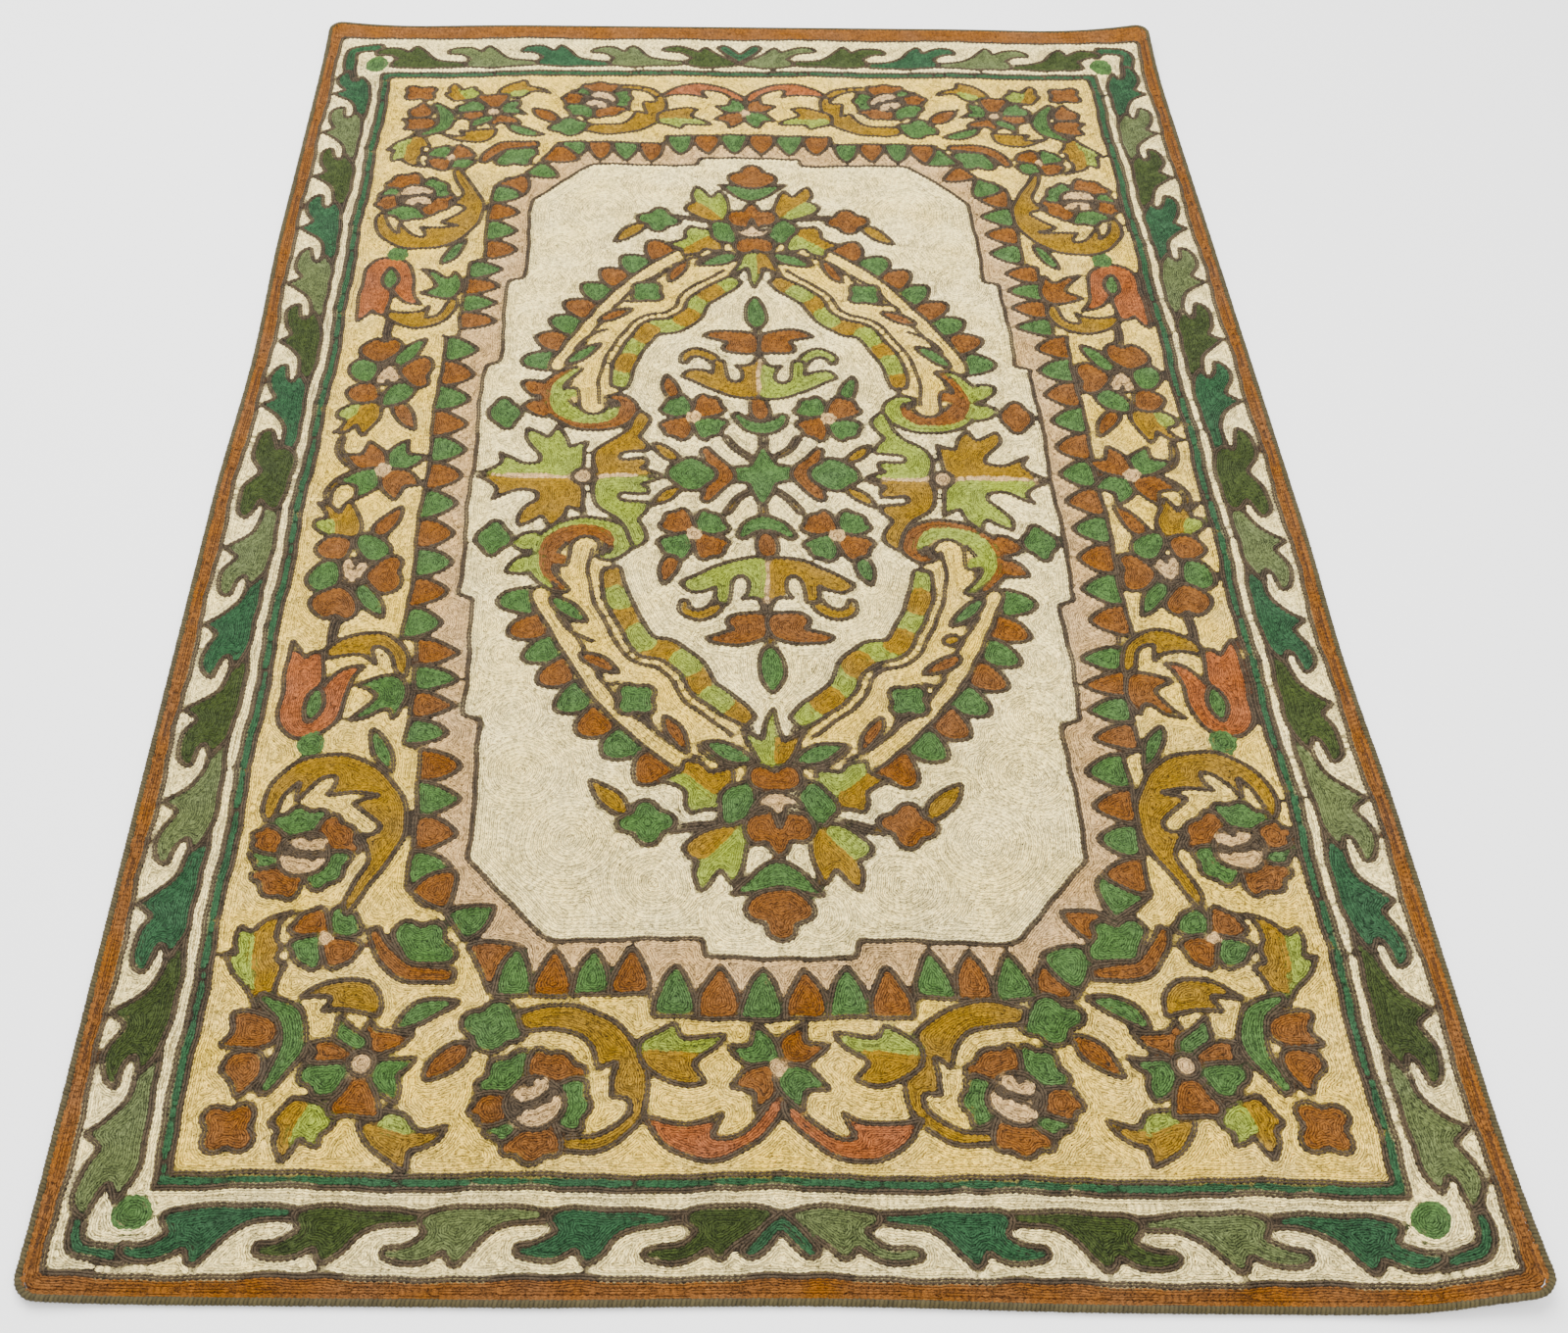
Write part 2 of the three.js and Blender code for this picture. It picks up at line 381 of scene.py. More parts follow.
def fan(length, width, lobes=3, depth=0.12):
    """A petal along +x: narrow at (0, 0), widest near its end, which is scalloped in lobes."""
    across = np.linspace(-1, 1, 8 * lobes + 1)
    scallop = 1 - depth * (1 - np.abs(np.sin(0.5 * np.pi * lobes * across + 0.5 * np.pi * (lobes % 2))))
    reach = length * (1 - 0.34 * across**2) * scallop
    side = 0.5 * width * np.sin(0.5 * np.pi * across) * scallop
    end = np.stack([reach, side], axis=1)
    return np.vstack([[(0, -0.13 * width)], end, [(0, 0.13 * width)]])


def small_rosette(first, second, length, width, centre, depth=0.12):
    """Four petals in two yarns round a blush middle."""
    petals = [worked((first, second)[k % 2], fan(length, width, depth=depth), turn=45 + 90 * k)
              for k in range(4)]
    return petals + [plain("blush", disc(centre))]


def ring_of_petals(petals):
    """Petals of a rosette round (0, 0). Each is (yarn, angle, length, width)."""
    return [worked(yarn, fan(length, width), turn=angle) for yarn, angle, length, width in petals]


def flower_in_scroll():
    """A ring of six petals in rust and green round two blush crescents on grey-brown."""
    petals = (("grass", 131, 42, 44), ("rust", 62, 41, 42), ("grass", -4, 36, 40), ("rust", -91, 42, 42),
              ("grass", -147, 38, 27), ("rust", 187, 43, 25))
    lower = rounded([(-15, -9, 0), (-6, -17), (4, -16), (13, -9), (18, 3, 0.3), (12, 4), (9, -3, 0.4), (4, 0),
                     (1, -6, 0.4), (-6, -5), (-8, -9, 0.4)])
    upper = rounded([(-14, 6, 0.3), (-8, 12), (-3, 8, 0.4), (2, 17), (8, 17), (7, 9), (1, 4), (-9, 1)])
    return (ring_of_petals(petals) + [worked("bark", lobed(38, 4, 0.1))]
            + [plain("blush", lower), plain("blush", upper)])


def two_tipped(yarn, turn, size=1.0):
    """A petal along +x with two sharp tips."""
    return worked(yarn, rounded([
        (0, -4, 0), (0, 4, 0), (13, 12), (23, 13), (35, 11, 0), (29, 5), (25, 0, 0.4), (29, -6), (33, -13, 0),
        (22, -14), (12, -12)]), turn=turn, size=size)


def star_flower():
    """Broad petals and pointed ones in rust and green round a blush disc."""
    petals = (
        ("rust", [(0, 0, 0), (-5, 12), (-3, 24), (1, 33, 0), (7, 24, 0.4), (18, 23), (31, 22, 0), (25, 13),
                  (14, 8)]),
        ("grass", [(0, 0, 0), (-10, 3), (-24, 3), (-39, -2, 0), (-38, -12), (-30, -17), (-27, -24),
                   (-14, -22), (-8, -10)]),
        ("grass", [(0, 0, 0), (12, 4), (24, 4), (37, 5, 0), (30, -3), (24, -8, 0.4), (28, -16), (26, -26, 0),
                   (15, -21), (7, -12)]),
        ("rust", [(0, 0, 0), (7, -10), (13, -23), (16, -36, 0.4), (4, -37), (-5, -36, 0.5), (-14, -37),
                  (-17, -30), (-10, -20), (-6, -10)]),
        ("rust", [(0, 0, 0), (-10, 12), (-22, 18), (-38, 15, 0), (-32, 8, 0.4), (-36, 2), (-20, 1)]),
        ("grass", [(0, 0, 0), (-11, 12), (-22, 19, 0.4), (-21, 36, 0), (-12, 28), (-6, 24, 0.4), (1, 18),
                   (2, 9)]))
    return [worked(yarn, rounded(rows)) for yarn, rows in petals] + [worked("blush", disc(17))]


def corner_flowers():
    """The front left corner of the gold ground."""
    outer_leaf = rounded([
        (-343, -522, 0), (-352, -508), (-363, -496), (-370, -483, 0), (-361, -484, 0.4), (-363, -472),
        (-361, -460, 0), (-353, -466, 0.4), (-344, -456), (-326, -448, 0), (-334, -458), (-336, -469, 0.4),
        (-331, -477), (-334, -486, 0.4), (-325, -490, 0), (-331, -501), (-334, -512)])
    bud_pair = [worked("rust", rounded([(-358, -528), (-344, -525), (-330, -530), (-325, -542), (-332, -551),
                                        (-345, -552), (-362, -550, 0.5), (-354, -540)])),
                worked("rust", rounded([(-354, -556, 0.5), (-342, -553), (-332, -556), (-330, -568),
                                        (-335, -578), (-342, -586), (-348, -576), (-357, -568, 0.5)])),
                worked("grass", ribbon([(-341, -514), (-320, -528), (-315, -554), (-328, -585)],
                                       (5, 17, 18, 7)))]
    horn = worked("ochre", rounded([
        (-261, -529, 0), (-262, -514), (-270, -503), (-284, -500), (-300, -504), (-316, -515, 0),
        (-302, -513), (-293, -514), (-300, -524, 0), (-285, -524)]))
    bracket = [worked("rust", ribbon([(-270, -461), (-262, -479), (-250, -494), (-234, -498), (-214, -499)],
                                     (7, 13, 14, 13, 10))),
               worked("grass", rounded([
                   (-257, -464), (-251, -455), (-243, -456), (-238, -461, 0.3), (-230, -457), (-222, -461),
                   (-222, -470, 0.4), (-215, -478), (-217, -489), (-230, -490), (-246, -488), (-251, -479)]))]
    hook_leaf = rounded([
        (-263, -600, 0.3), (-250, -595), (-236, -597), (-230, -606, 0.4), (-223, -608), (-208, -603, 0),
        (-214, -613), (-224, -619), (-231, -621, 0.4), (-233, -635, 0), (-243, -630), (-254, -622),
        (-262, -611)])
    small_leaf = rounded([
        (-308, -587, 0), (-314, -597), (-320, -606, 0), (-313, -611, 0.4), (-316, -619), (-309, -632, 0),
        (-303, -623), (-299, -615, 0.4), (-295, -619), (-286, -622, 0), (-287, -613, 0.4), (-280, -608),
        (-282, -596), (-296, -590)])
    scroll = worked("ochre", rounded([
        (-168, -525, 0), (-150, -518), (-128, -520), (-107, -530), (-91, -547), (-84, -570), (-86, -594),
        (-98, -612), (-116, -622), (-138, -623, 0), (-137, -614, 0), (-118, -612), (-104, -604), (-96, -594),
        (-96, -586, 0.4), (-108, -586, 0), (-106, -572), (-103, -560, 0.4), (-115, -567, 0), (-119, -552),
        (-128, -541), (-145, -537), (-164, -537, 0)]))
    return ([worked("ochre", outer_leaf), inlay("lime", box(-380, -530, -350, -455)),
             inlay("lime", box(-352, -530, -346, -495))]
            + bud_pair + [worked("rust", lobed(41, 4, 0.42, turn=48), -345, -608)]
            + put(small_rosette("grass", "rust", 27, 30, 10, depth=0.08), -302, -468) + [horn] + bracket
            + [worked("grass", almond(47, 15, bend=4), -250, -539, 27)]
            + [worked("ochre", small_leaf),
               inlay("lime", [(-290, -580), (-302, -605), (-310, -636), (-270, -636), (-270, -580)]),
               worked("ochre", hook_leaf),
               inlay("lime", [(-270, -588), (-270, -604), (-250, -606), (-233, -612), (-226, -603),
                              (-228, -588)])]
            + put(star_flower(), -267, -564)
            + [worked("rust", almond(40, 18), -197, -546, 223),
               worked("grass", lobed(46, 4, 0.32, turn=80, squash=0.86), -183, -534), scroll]
            + put(flower_in_scroll(), -155, -590))


def end_flowers():
    """The left half of the front end: a crescent and a leaf beside the middle flower."""
    crescent = rounded([
        (-87, -597, 0), (-74, -600), (-58, -602), (-46, -600), (-36, -595, 0), (-41, -606), (-43, -612, 0.4),
        (-30, -612), (-17, -604), (-8, -593), (0, -582, 0), (3, -594), (-4, -606), (-17, -618), (-34, -627),
        (-52, -627), (-68, -620), (-79, -610)])
    return put(forked_leaf("lime", "ochre"), -87, -553, 2) + [worked("salmon", crescent)]


def end_rosette(first, second):
    """The flower at the middle of a rug end: four petals of two tips."""
    petals = [two_tipped((first, second)[k % 2], 45 + 90 * k) for k in range(4)]
    return petals + [plain("blush", disc(12))]


def side_flowers(leaf_yarn):
    """The front half of the left side of the gold ground, with its three-lobed leaf in one yarn."""
    scroll = worked("ochre", rounded([
        (-356, -376, 0), (-363, -362), (-361, -346), (-353, -330), (-340, -318), (-323, -313), (-303, -315),
        (-285, -323), (-270, -339), (-261, -358), (-259, -378), (-264, -398), (-273, -416), (-282, -434),
        (-290, -450, 0), (-294, -438), (-288, -420), (-283, -405), (-286, -394), (-292, -384, 0),
        (-281, -384), (-277, -378, 0.4), (-287, -367), (-299, -357, 0), (-288, -353), (-279, -350, 0.4),
        (-297, -348), (-319, -349, 0), (-312, -341), (-312, -333, 0.4), (-322, -335), (-330, -343),
        (-338, -356, 0), (-339, -345), (-338, -336, 0.4), (-347, -347), (-352, -360)]))
    tulip = [worked("salmon", rounded([
        (-363, -200, 0), (-366, -225), (-366, -255), (-365, -280), (-355, -294), (-341, -297), (-326, -290),
        (-319, -274), (-317, -252), (-313, -240), (-305, -227, 0), (-318, -229), (-329, -237),
        (-337, -249, 0.3), (-336, -230), (-338, -212, 0), (-347, -212), (-351, -218, 0.3), (-356, -208)])),
        worked("grass", almond(34, 15), -339, -249, -95)]
    three_leaf = worked(leaf_yarn, rounded([
        (-276, -239), (-290, -237), (-310, -246, 0), (-299, -252), (-294, -257, 0.4), (-302, -269),
        (-313, -282, 0), (-299, -278), (-290, -270), (-284, -269, 0.4), (-280, -280, 0), (-275, -270),
        (-271, -255)]))
    stem = worked("ochre", rounded([
        (-338, -211, 0), (-326, -199), (-308, -192), (-292, -194), (-278, -206), (-272, -221),
        (-273, -237, 0), (-281, -233), (-284, -219), (-290, -210), (-300, -208, 0.4), (-297, -226, 0),
        (-306, -217), (-320, -215), (-334, -219, 0)]))
    petals = (
        ("rust", [(-331, -90), (-333, -104), (-338, -114), (-350, -114), (-361, -104), (-356, -92),
                  (-344, -86)]),
        ("grass", [(-328, -98), (-326, -83), (-314, -84), (-302, -92), (-299, -104), (-307, -113),
                   (-319, -112)]),
        ("grass", [(-342, -115), (-355, -117), (-364, -130), (-362, -143), (-351, -150), (-341, -144),
                   (-337, -130)]),
        ("rust", [(-306, -112), (-295, -107), (-288, -114), (-291, -124, 0.4), (-288, -134), (-291, -147),
                  (-302, -149), (-313, -139), (-318, -128)]),
        ("rust", [(-335, -142), (-348, -147), (-358, -157), (-354, -168), (-343, -177), (-335, -172, 0.4),
                  (-326, -178), (-318, -170), (-321, -156)]))
    blush = plain("blush", rounded([
        (-328, -138, 0), (-335, -126), (-336, -115), (-331, -113), (-327, -122, 0.3), (-321, -114),
        (-317, -117), (-320, -127)]))
    big_flower = ([worked("rust", almond(46, 16), -315, -90, 62),
                   worked("grass", almond(52, 16), -326, -134, -55), worked("bark", disc(30), -328, -126)]
                  + [worked(yarn, rounded(rows)) for yarn, rows in petals] + [blush])
    horned_leaf = rounded([
        (-330, -88), (-350, -88), (-364, -78, 0.4), (-364, -68, 0.4), (-356, -66, 0.4), (-358, -58),
        (-366, -48, 0), (-353, -51), (-345, -60, 0.4), (-343, -51), (-339, -43, 0), (-331, -56), (-325, -72)])
    return ([worked("ochre", ribbon([(-333, -175), (-333, -206)], (5, 5))), stem] + tulip
            + [three_leaf, plain("grass", disc(21), -336, -303),
               worked("grass", almond(46, 13), -293, -289, -62), scroll]
            + put(flower_in_scroll(), -329, -400, -30)
            + [worked("ochre", horned_leaf),
               inlay("lime", [(-370, -66), (-358, -58), (-347, -72), (-345, -92), (-370, -92)])] + big_flower)


def side_rosette(first, second):
    """The small flower at the middle of a side, with a loop of stem above and below."""
    loops = []
    for sign in (-1, 1):
        loops.append(worked("ochre", ribbon([(-24, 4 * sign), (-35, 12 * sign), (-41, 26 * sign),
                                             (-39, 42 * sign)], (6, 6, 6, 4))))
    petals = [two_tipped((first, second)[k % 2], 45 + 90 * k, size=1.12) for k in range(4)]
    return loops + petals + [plain("blush", disc(15))]


def ground_flowers():
    """All the flowers of the gold ground: four corners, two ends and two sides. Each quarter is
    the front left one mirrored in x, in y or in both, with its corner and side moved a little."""
    corner, end = corner_flowers(), end_flowers()
    shapes = []
    for x, y, corner_shift, side_shift in ((None, None, (0, 0), (0, 0)), (3, None, (-8, 6), (0, 10)),
                                           (None, -4, (4, 0), (0, 0)), (3, -4, (-6, 0), (0, 0))):
        side = side_flowers("rust" if x else "grass")
        for group, shift in ((corner, corner_shift), (end, (0, 0)), (side, side_shift)):
            shapes += put(mirrored(group, across_x=x, across_y=y), *shift)
    return (shapes + put(end_rosette("rust", "grass"), 2, -563) + put(end_rosette("rust", "grass"), 3, 556)
            + put(side_rosette("grass", "rust"), -317, -6) + put(side_rosette("grass", "rust"), 322, -5, 180))


# The medallion in the ivory field. A quarter of its frame of beads, pale crescent and teeth is
# drawn and mirrored, and the flowers inside it, beside it and at its two ends are put in after.
MEDALLION = (7.0, -8.0)
SWAP_LEAVES = {"lime": "ochre", "ochre": "lime"}
BEADS = 9
BEAD_PATH = [(-118, -119), (-113, -152), (-103, -180), (-91, -202), (-73, -207), (-55, -223),
             (-45, -245), (-29, -260), (-9, -279)]
CRESCENT = [(-181, -144), (-173, -170), (-161, -198), (-149, -222), (-136, -244), (-121, -265), (-105, -285),
            (-88, -303), (-71, -318), (-50, -329), (-20, -338), (-8, -300), (-12, -278), (-30, -260),
            (-47, -243), (-57, -222), (-75, -206), (-92, -203), (-104, -180), (-114, -150), (-117, -118),
            (-116, -104), (-120, -90), (-132, -81), (-147, -80), (-157, -89), (-164, -110), (-160, -135)]
# Each tooth on the crescent's outer line: its yarn, the middle of its foot, and where it points.
FRAME_TEETH = (("grass", -179, -155, 184), ("rust", -170, -181, 198), ("grass", -159, -205, 202),
               ("rust", -147, -228, 208), ("grass", -133, -251, 219), ("rust", -117, -273, 222),
               ("grass", -99, -293, 222), ("rust", -79, -312, 236))


def distance_along(line):
    """How far each point of a line is from its first one: the sum of the steps before it."""
    return np.concatenate([[0], np.cumsum(np.linalg.norm(np.diff(line, axis=0), axis=1))])


def at_distance(places, far, line):
    """The points of a line at some distances along it, where its own points are at far."""
    return np.stack([np.interp(places, far, line[:, axis]) for axis in (0, 1)], axis=-1)


def beads(first, second):
    """Beads along a path: a band of one yarn in one outline, with ovals of another laid in it."""
    shapes = [worked(first, ribbon(BEAD_PATH, (13, 20, 20, 20, 21, 22, 22, 21, 20, 20, 20, 20, 13)))]
    line = flowing(BEAD_PATH, steps=24)
    far = distance_along(line)
    places = at_distance(np.linspace(0, far[-1], BEADS + 1), far, line)
    for start, end in list(zip(places[:-1], places[1:]))[1::2]:
        turn = math.degrees(math.atan2(end[1] - start[1], end[0] - start[0]))
        shapes.append(inlay(second, lobed(28, 3, 0, squash=0.9), *(0.5 * (start + end)), turn))
    return shapes


def frame_scroll(outer, inner):
    """The curled end of a pale crescent: one yarn inside another, and two leaves at its back."""
    outside = merged([
        worked(outer, almond(36, 24), -168, -88, 190), worked(outer, almond(36, 20), -174, -108, 210),
        worked(outer, ribbon([(-150, -143), (-166, -139), (-179, -122), (-180, -102), (-170, -82),
                              (-150, -70), (-130, -71), (-114, -82), (-111, -96), (-119, -105), (-131, -104)],
                             (3, 8, 12, 15, 17, 17, 18, 19, 16, 11, 4)))])
    inside = [plain(inner, ribbon([(-154, -141), (-168, -126), (-173, -106), (-166, -87), (-150, -77),
                                   (-134, -76), (-123, -85), (-122, -95)],
                                  (3, 8, 13, 16, 14, 11, 9, 5))),
              plain(inner, almond(22, 12), -170, -104, -32)]
    hollow = [row([(-151, -140), (-163, -126), (-166, -116), (-155, -117), (-153, -104), (-154, -92),
                   (-146, -83), (-136, -84), (-129, -92), (-131, -100)])]
    return outside + inside + [plain("bark", almond(17, 9), -130, -105, 66)] + hollow


def frame_quarter():
    """The front left quarter of the medallion's frame: teeth, and a pale crescent with its vine."""
    shapes = [worked(yarn, tooth(29, 30, swell=0.6), x, y, turn - 90) for yarn, x, y, turn in FRAME_TEETH]
    shapes += [worked("gold", rounded(CRESCENT))]
    shapes += [row([(-166, -144), (-158, -166), (-149, -187), (-139, -208), (-126, -232), (-114, -251),
                    (-104, -267), (-88, -279), (-76, -292), (-61, -305), (-46, -313)]),
               ("row", beside([(-117, -98)] + BEAD_PATH, -18.5), "bark"),
               row([(-160, -170), (-151, -187), (-140, -196), (-131, -200)]),
               row([(-127, -234), (-119, -242), (-108, -240)]),
               row([(-88, -272), (-76, -290), (-67, -296)])]
    return shapes + [
        worked("grass", almond(42, 14), -166, -150, -45), worked("rust", almond(38, 12), -142, -212, -30),
        worked("grass", lobed(35, 4, 0.3, turn=45), -95, -256),
        worked("rust", almond(40, 12), -74, -271, -64), worked("grass", almond(40, 14), -49, -298, -35)]


def palmette(upper, lower):
    """The leaf at the medallion's side, along -x from (0, 0): four fingers in one yarn above its
    blush rib, and four in another below."""
    half = rounded([
        (0, 0, 0), (3, 16), (3, 32), (5, 43, 0), (-4, 38), (-10, 35, 0.3), (-14, 48), (-24, 62, 0),
        (-28, 52), (-31, 48, 0.3), (-38, 54), (-49, 62, 0), (-51, 50), (-44, 37), (-35, 27),
        (-35, 18, 0.3), (-50, 17), (-62, 24), (-73, 31, 0), (-68, 18), (-74, 10), (-84, 4), (-88, 0, 0)])
    return (merged([worked(upper, half), worked(lower, half * (1, -1))])
            + [plain("blush", ribbon([(-8, 0), (-50, 0), (-80, 0)], (5, 6, 3)))])


def side_leaf(upper, lower):
    """The leaf that faces the palmette, along +x from (0, 0): a long horn and three fingers in
    one yarn above its blush rib, and the same below in another."""
    half = rounded([
        (4, 0, 0), (0, 18), (2, 33), (12, 43), (20, 50), (28, 62), (31, 74), (36, 86, 0), (46, 75),
        (43, 62), (37, 51, 0.4), (45, 42), (47, 32, 0), (30, 31), (22, 26), (25, 20), (37, 22), (46, 22),
        (46, 14), (40, 10, 0.4), (52, 6), (60, 0, 0)])
    return (merged([worked(upper, half), worked(lower, half * (1, -1))])
            + [plain("blush", ribbon([(4, 0), (26, 0), (46, 0)], (6, 5, 3)))])


def lobed_leaf():
    """The small leaf at the medallion's side: two long lobes, and two short ones between them."""
    return lobed(43, 4, 0.24, squash=0.68)


def medallion_side():
    """The left side of the medallion, on its middle line y = -12."""
    return (put(palmette("lime", "ochre"), -148, -12) + put(side_leaf("ochre", "lime"), -137, -12)
            + [worked("blush", disc(18), -145, -12),
               worked("grass", lobed_leaf(), -217, -88, 84), worked("grass", lobed_leaf(), -217, 68, 96)])


def maple_leaf(upper, lower):
    """A leaf along +x with three blunt points, its halves in two yarns."""
    outline = rounded([(0, 0), (0, 8), (6, 16), (14, 27, 0), (21, 21), (26, 13, 0.3), (36, 15), (49, 9, 0),
                       (44, 0), (46, -8), (50, -17, 0), (34, -12), (27, -12, 0.3), (22, -20), (12, -24, 0),
                       (7, -15), (0, -8)])
    return [worked(upper, outline), half_leaf_colour(outline, lower)]


def finial():
    """The front end of the medallion, on its middle line x = 0: a flower, its leaves and bud."""
    crown = put([worked("lime", rounded([
        (-9, -2), (-15, 12), (-23, 33, 0), (-15, 28), (-8, 21, 0.3), (-5, 38), (0, 54, 0), (4, 38),
        (8, 21, 0.3), (16, 27), (25, 34, 0), (17, 14), (9, -2)]))], 0, -318)
    crown += [inlay("ochre", box(1, -330, 40, -250))]
    flower = [
        worked("grass", lobed(42, 4, 0.22, turn=70, squash=0.7), -29, -353, 72),
        worked("grass", lobed(42, 4, 0.22, turn=70, squash=0.7), 29, -353, 108),
        worked("rust", rounded([(-18, -322), (-20, -334), (-12, -342), (0, -344), (12, -342), (20, -334),
                                (18, -322), (8, -320), (0, -326, 0), (-8, -320)])),
        worked("rust", rounded(both_sides([(0, -352), (-10, -362), (-20, -364), (-25, -376), (-19, -387),
                                           (-9, -386, 0.4), (-6, -394), (0, -399)]))),
        worked("blush", rounded([(-20, -361), (-12, -348), (0, -344), (12, -348), (19, -358), (8, -355),
                                 (5, -358, 0.3), (1, -376, 0), (-5, -360, 0.3), (-12, -357)]))]
    bud = [worked("grass", rounded(both_sides([(0, -402), (-14, -410), (-33, -432, 0), (-14, -428),
                                               (0, -424)]))),
           worked("rust", rounded(both_sides([(0, -425), (-14, -428), (-24, -440), (-22, -450),
                                              (-11, -454, 0.4), (-10, -462), (0, -467)])))]
    leaves = [worked("grass", almond(42, 16), -16, -317, 152), worked("grass", almond(42, 16), 16, -317, 28)]
    low_leaf = rounded([
        (25, -370), (45, -373), (60, -383), (67, -392, 0.3), (62, -400), (55, -404, 0.4), (59, -416),
        (56, -429, 0.3), (48, -423), (40, -410, 0.4), (32, -422, 0.3), (25, -409), (22, -388)])
    shapes = leaves + crown
    for sign in (1, -1):
        upper, lower = ("lime", "ochre") if sign > 0 else ("ochre", "lime")
        pair = put(maple_leaf(upper, lower), 38, -352, 42) + [
            worked(lower, low_leaf),
            inlay(upper, [(22, -362), (75, -362), (75, -408), (56, -407), (38, -388)])]
        shapes += pair if sign > 0 else mirrored(pair, across_x=0)
    return shapes + bud + flower


def sprig(flower):
    """A blossom and its ochre bud on a thin stem, to the right of the front end."""
    return [worked("ochre", ribbon([(46, -371), (60, -374), (78, -378)], (4, 5, 5))),
            worked("ochre", almond(43, 16), 107, -365, 45),
            worked(flower, lobed(43, 4, 0.36, turn=82, squash=0.96), 93, -371)]


def candelabra(left, right, left_hook, right_hook):
    """The branched stem behind the bouquet, drawn from its middle line x = 0: a boat whose ends
    hang over, with a curled hook under each, a pair of rust leaves and a green bud."""
    half = rounded([
        (0, 97, 0), (-13, 97), (-28, 101), (-42, 109), (-56, 119), (-69, 128, 0.3), (-61, 137), (-47, 135),
        (-41, 130, 0.4), (-41, 140), (-40, 149, 0), (-30, 149, 0), (-29, 138), (-27, 124), (-21, 118),
        (-15, 123), (-15, 135), (-21, 143, 0), (-9, 142), (-4, 150), (0, 163, 0)])
    hook = ribbon([(-37, 143), (-42, 154), (-55, 162), (-66, 156), (-66, 146)], (9, 10, 11, 9, 6))
    wing = [worked("rust", rounded([
        (-1, 160), (-14, 159), (-29, 161), (-34, 169), (-28, 176, 0.4), (-38, 180), (-52, 184, 0),
        (-44, 191), (-26, 193), (-8, 189), (-1, 182)]))]
    return ([worked(left_hook, hook), worked(right_hook, hook * (-1, 1))]
            + merged([worked(left, half), worked(right, half * (-1, 1))])
            + [plain("blush", ribbon([(0, 102), (0, 125), (0, 150)], (4, 5, 3))),
               worked("ochre", ribbon([(0, 180), (0, 200)], (7, 6)))]
            + wing + mirrored(wing, across_x=0) + [worked("grass", almond(50, 21), 0, 194, 90)])


def bouquet():
    """The flowers in the middle of the medallion, round (0, 0)."""
    stems = [worked("ochre", ribbon([(-32 * side, 47 * end), (-22 * side, 30 * end), (-8 * side, 18 * end)],
                                    (5, 5, 5))) for side in (-1, 1) for end in (-1, 1)]
    shapes = stems + [
        worked("ochre", ribbon([(0, -60), (0, 60)], (6, 6))),
        worked("grass", rounded(both_sides([(0, 36, 0.4), (-9, 18), (-11, 11, 0.4), (-24, 9), (-26, -6),
                                            (-12, -11, 0.4), (-9, -20), (0, -38, 0.4)])))]
    for side in (-1, 1):
        shapes += [
            worked("rust", ribbon([(50 * side, 33), (40 * side, 14), (32 * side, 0), (40 * side, -14),
                                   (50 * side, -33)], (6, 16, 18, 16, 6))),
            worked("ochre", almond(34, 12), 70 * side, 16, 90 - 47 * side),
            worked("ochre", almond(34, 12), 70 * side, -16, -90 + 47 * side),
            worked("grass", lobed(43, 4, 0.16), 60 * side, 0)]
    for end in (-1, 1):
        shapes += [worked("grass", ribbon([(-23, 76 * end), (-12, 62 * end), (0, 57 * end), (12, 62 * end),
                                           (23, 76 * end)], (6, 15, 17, 15, 6))),
                   worked("rust", almond(38, 19), 0, 66 * end, 90 * end)]
        for side, yarn in ((-1, "rust"), (1, "grass")):
            shapes += [worked(yarn, almond(42, 15), 74 * side, 90 * end, (90 - 12 * side) * end)]
            shapes += put(small_rosette("grass", "rust", 33, 34, 14), 60 * side, 73 * end, 45 + 45 * end)
    return shapes


def medallion():
    """The whole medallion: its frame's four quarters, then what lies beside, beyond and in it."""
    x, y = MEDALLION
    quarter, side, end = frame_quarter(), medallion_side(), finial()
    shapes = []
    for across_x in (None, x):
        for across_y in (None, y):
            swapped = (across_x is None) != (across_y is None)
            outer, inner = ("rust", "lime") if swapped else ("lime", "rust")
            first, second = ("lime", "ochre") if swapped else ("ochre", "lime")
            parts = quarter + beads(first, second) + frame_scroll(outer, inner)
            shapes += mirrored(parts, across_x, across_y)
    shapes += [worked("ochre", disc(13), 150, -195)]
    shapes += side + mirrored(side, across_x=x, swap=SWAP_LEAVES)
    shapes += [worked("rust", lobed_leaf(), 2 * x + 217, 68, 84)]
    for flower, across_x in (("rust", None), ("grass", 0)):
        for across_y in (None, y):
            shapes += put(mirrored(sprig(flower), across_x, across_y), x)
    shapes += put(end, x) + put(mirrored(end, across_y=y), x)
    return (shapes + put(bouquet(), x, y) + put(candelabra("ochre", "lime", "ochre", "lime"), x, y)
            + put(mirrored(candelabra("lime", "ochre", "ochre", "ochre"), across_y=0), x, y))


# The whorls in the ivory field: rounds of rows with no outline, each (x, y, across), from the
# middle of the field, on each of its four quarters.
WHORLS = ((86, 415, 58), (146, 378, 62), (186, 318, 50), (196, 262, 44), (204, 205, 40), (30, 440, 34))
WHORL_CENTRE = (6, -8)


def whorls():
    """A disc for each whorl, in the field's own yarn."""
    middle_x, middle_y = WHORL_CENTRE
    return [inlay("ivory", disc(across), middle_x + side_x * x, middle_y + side_y * y)
            for x, y, across in WHORLS for side_x in (-1, 1) for side_y in (-1, 1)]


def design():
    """Every drawn shape of the rug, in the order in which they are laid down."""
    return borders() + toothed_field() + whorls() + ground_flowers() + medallion()


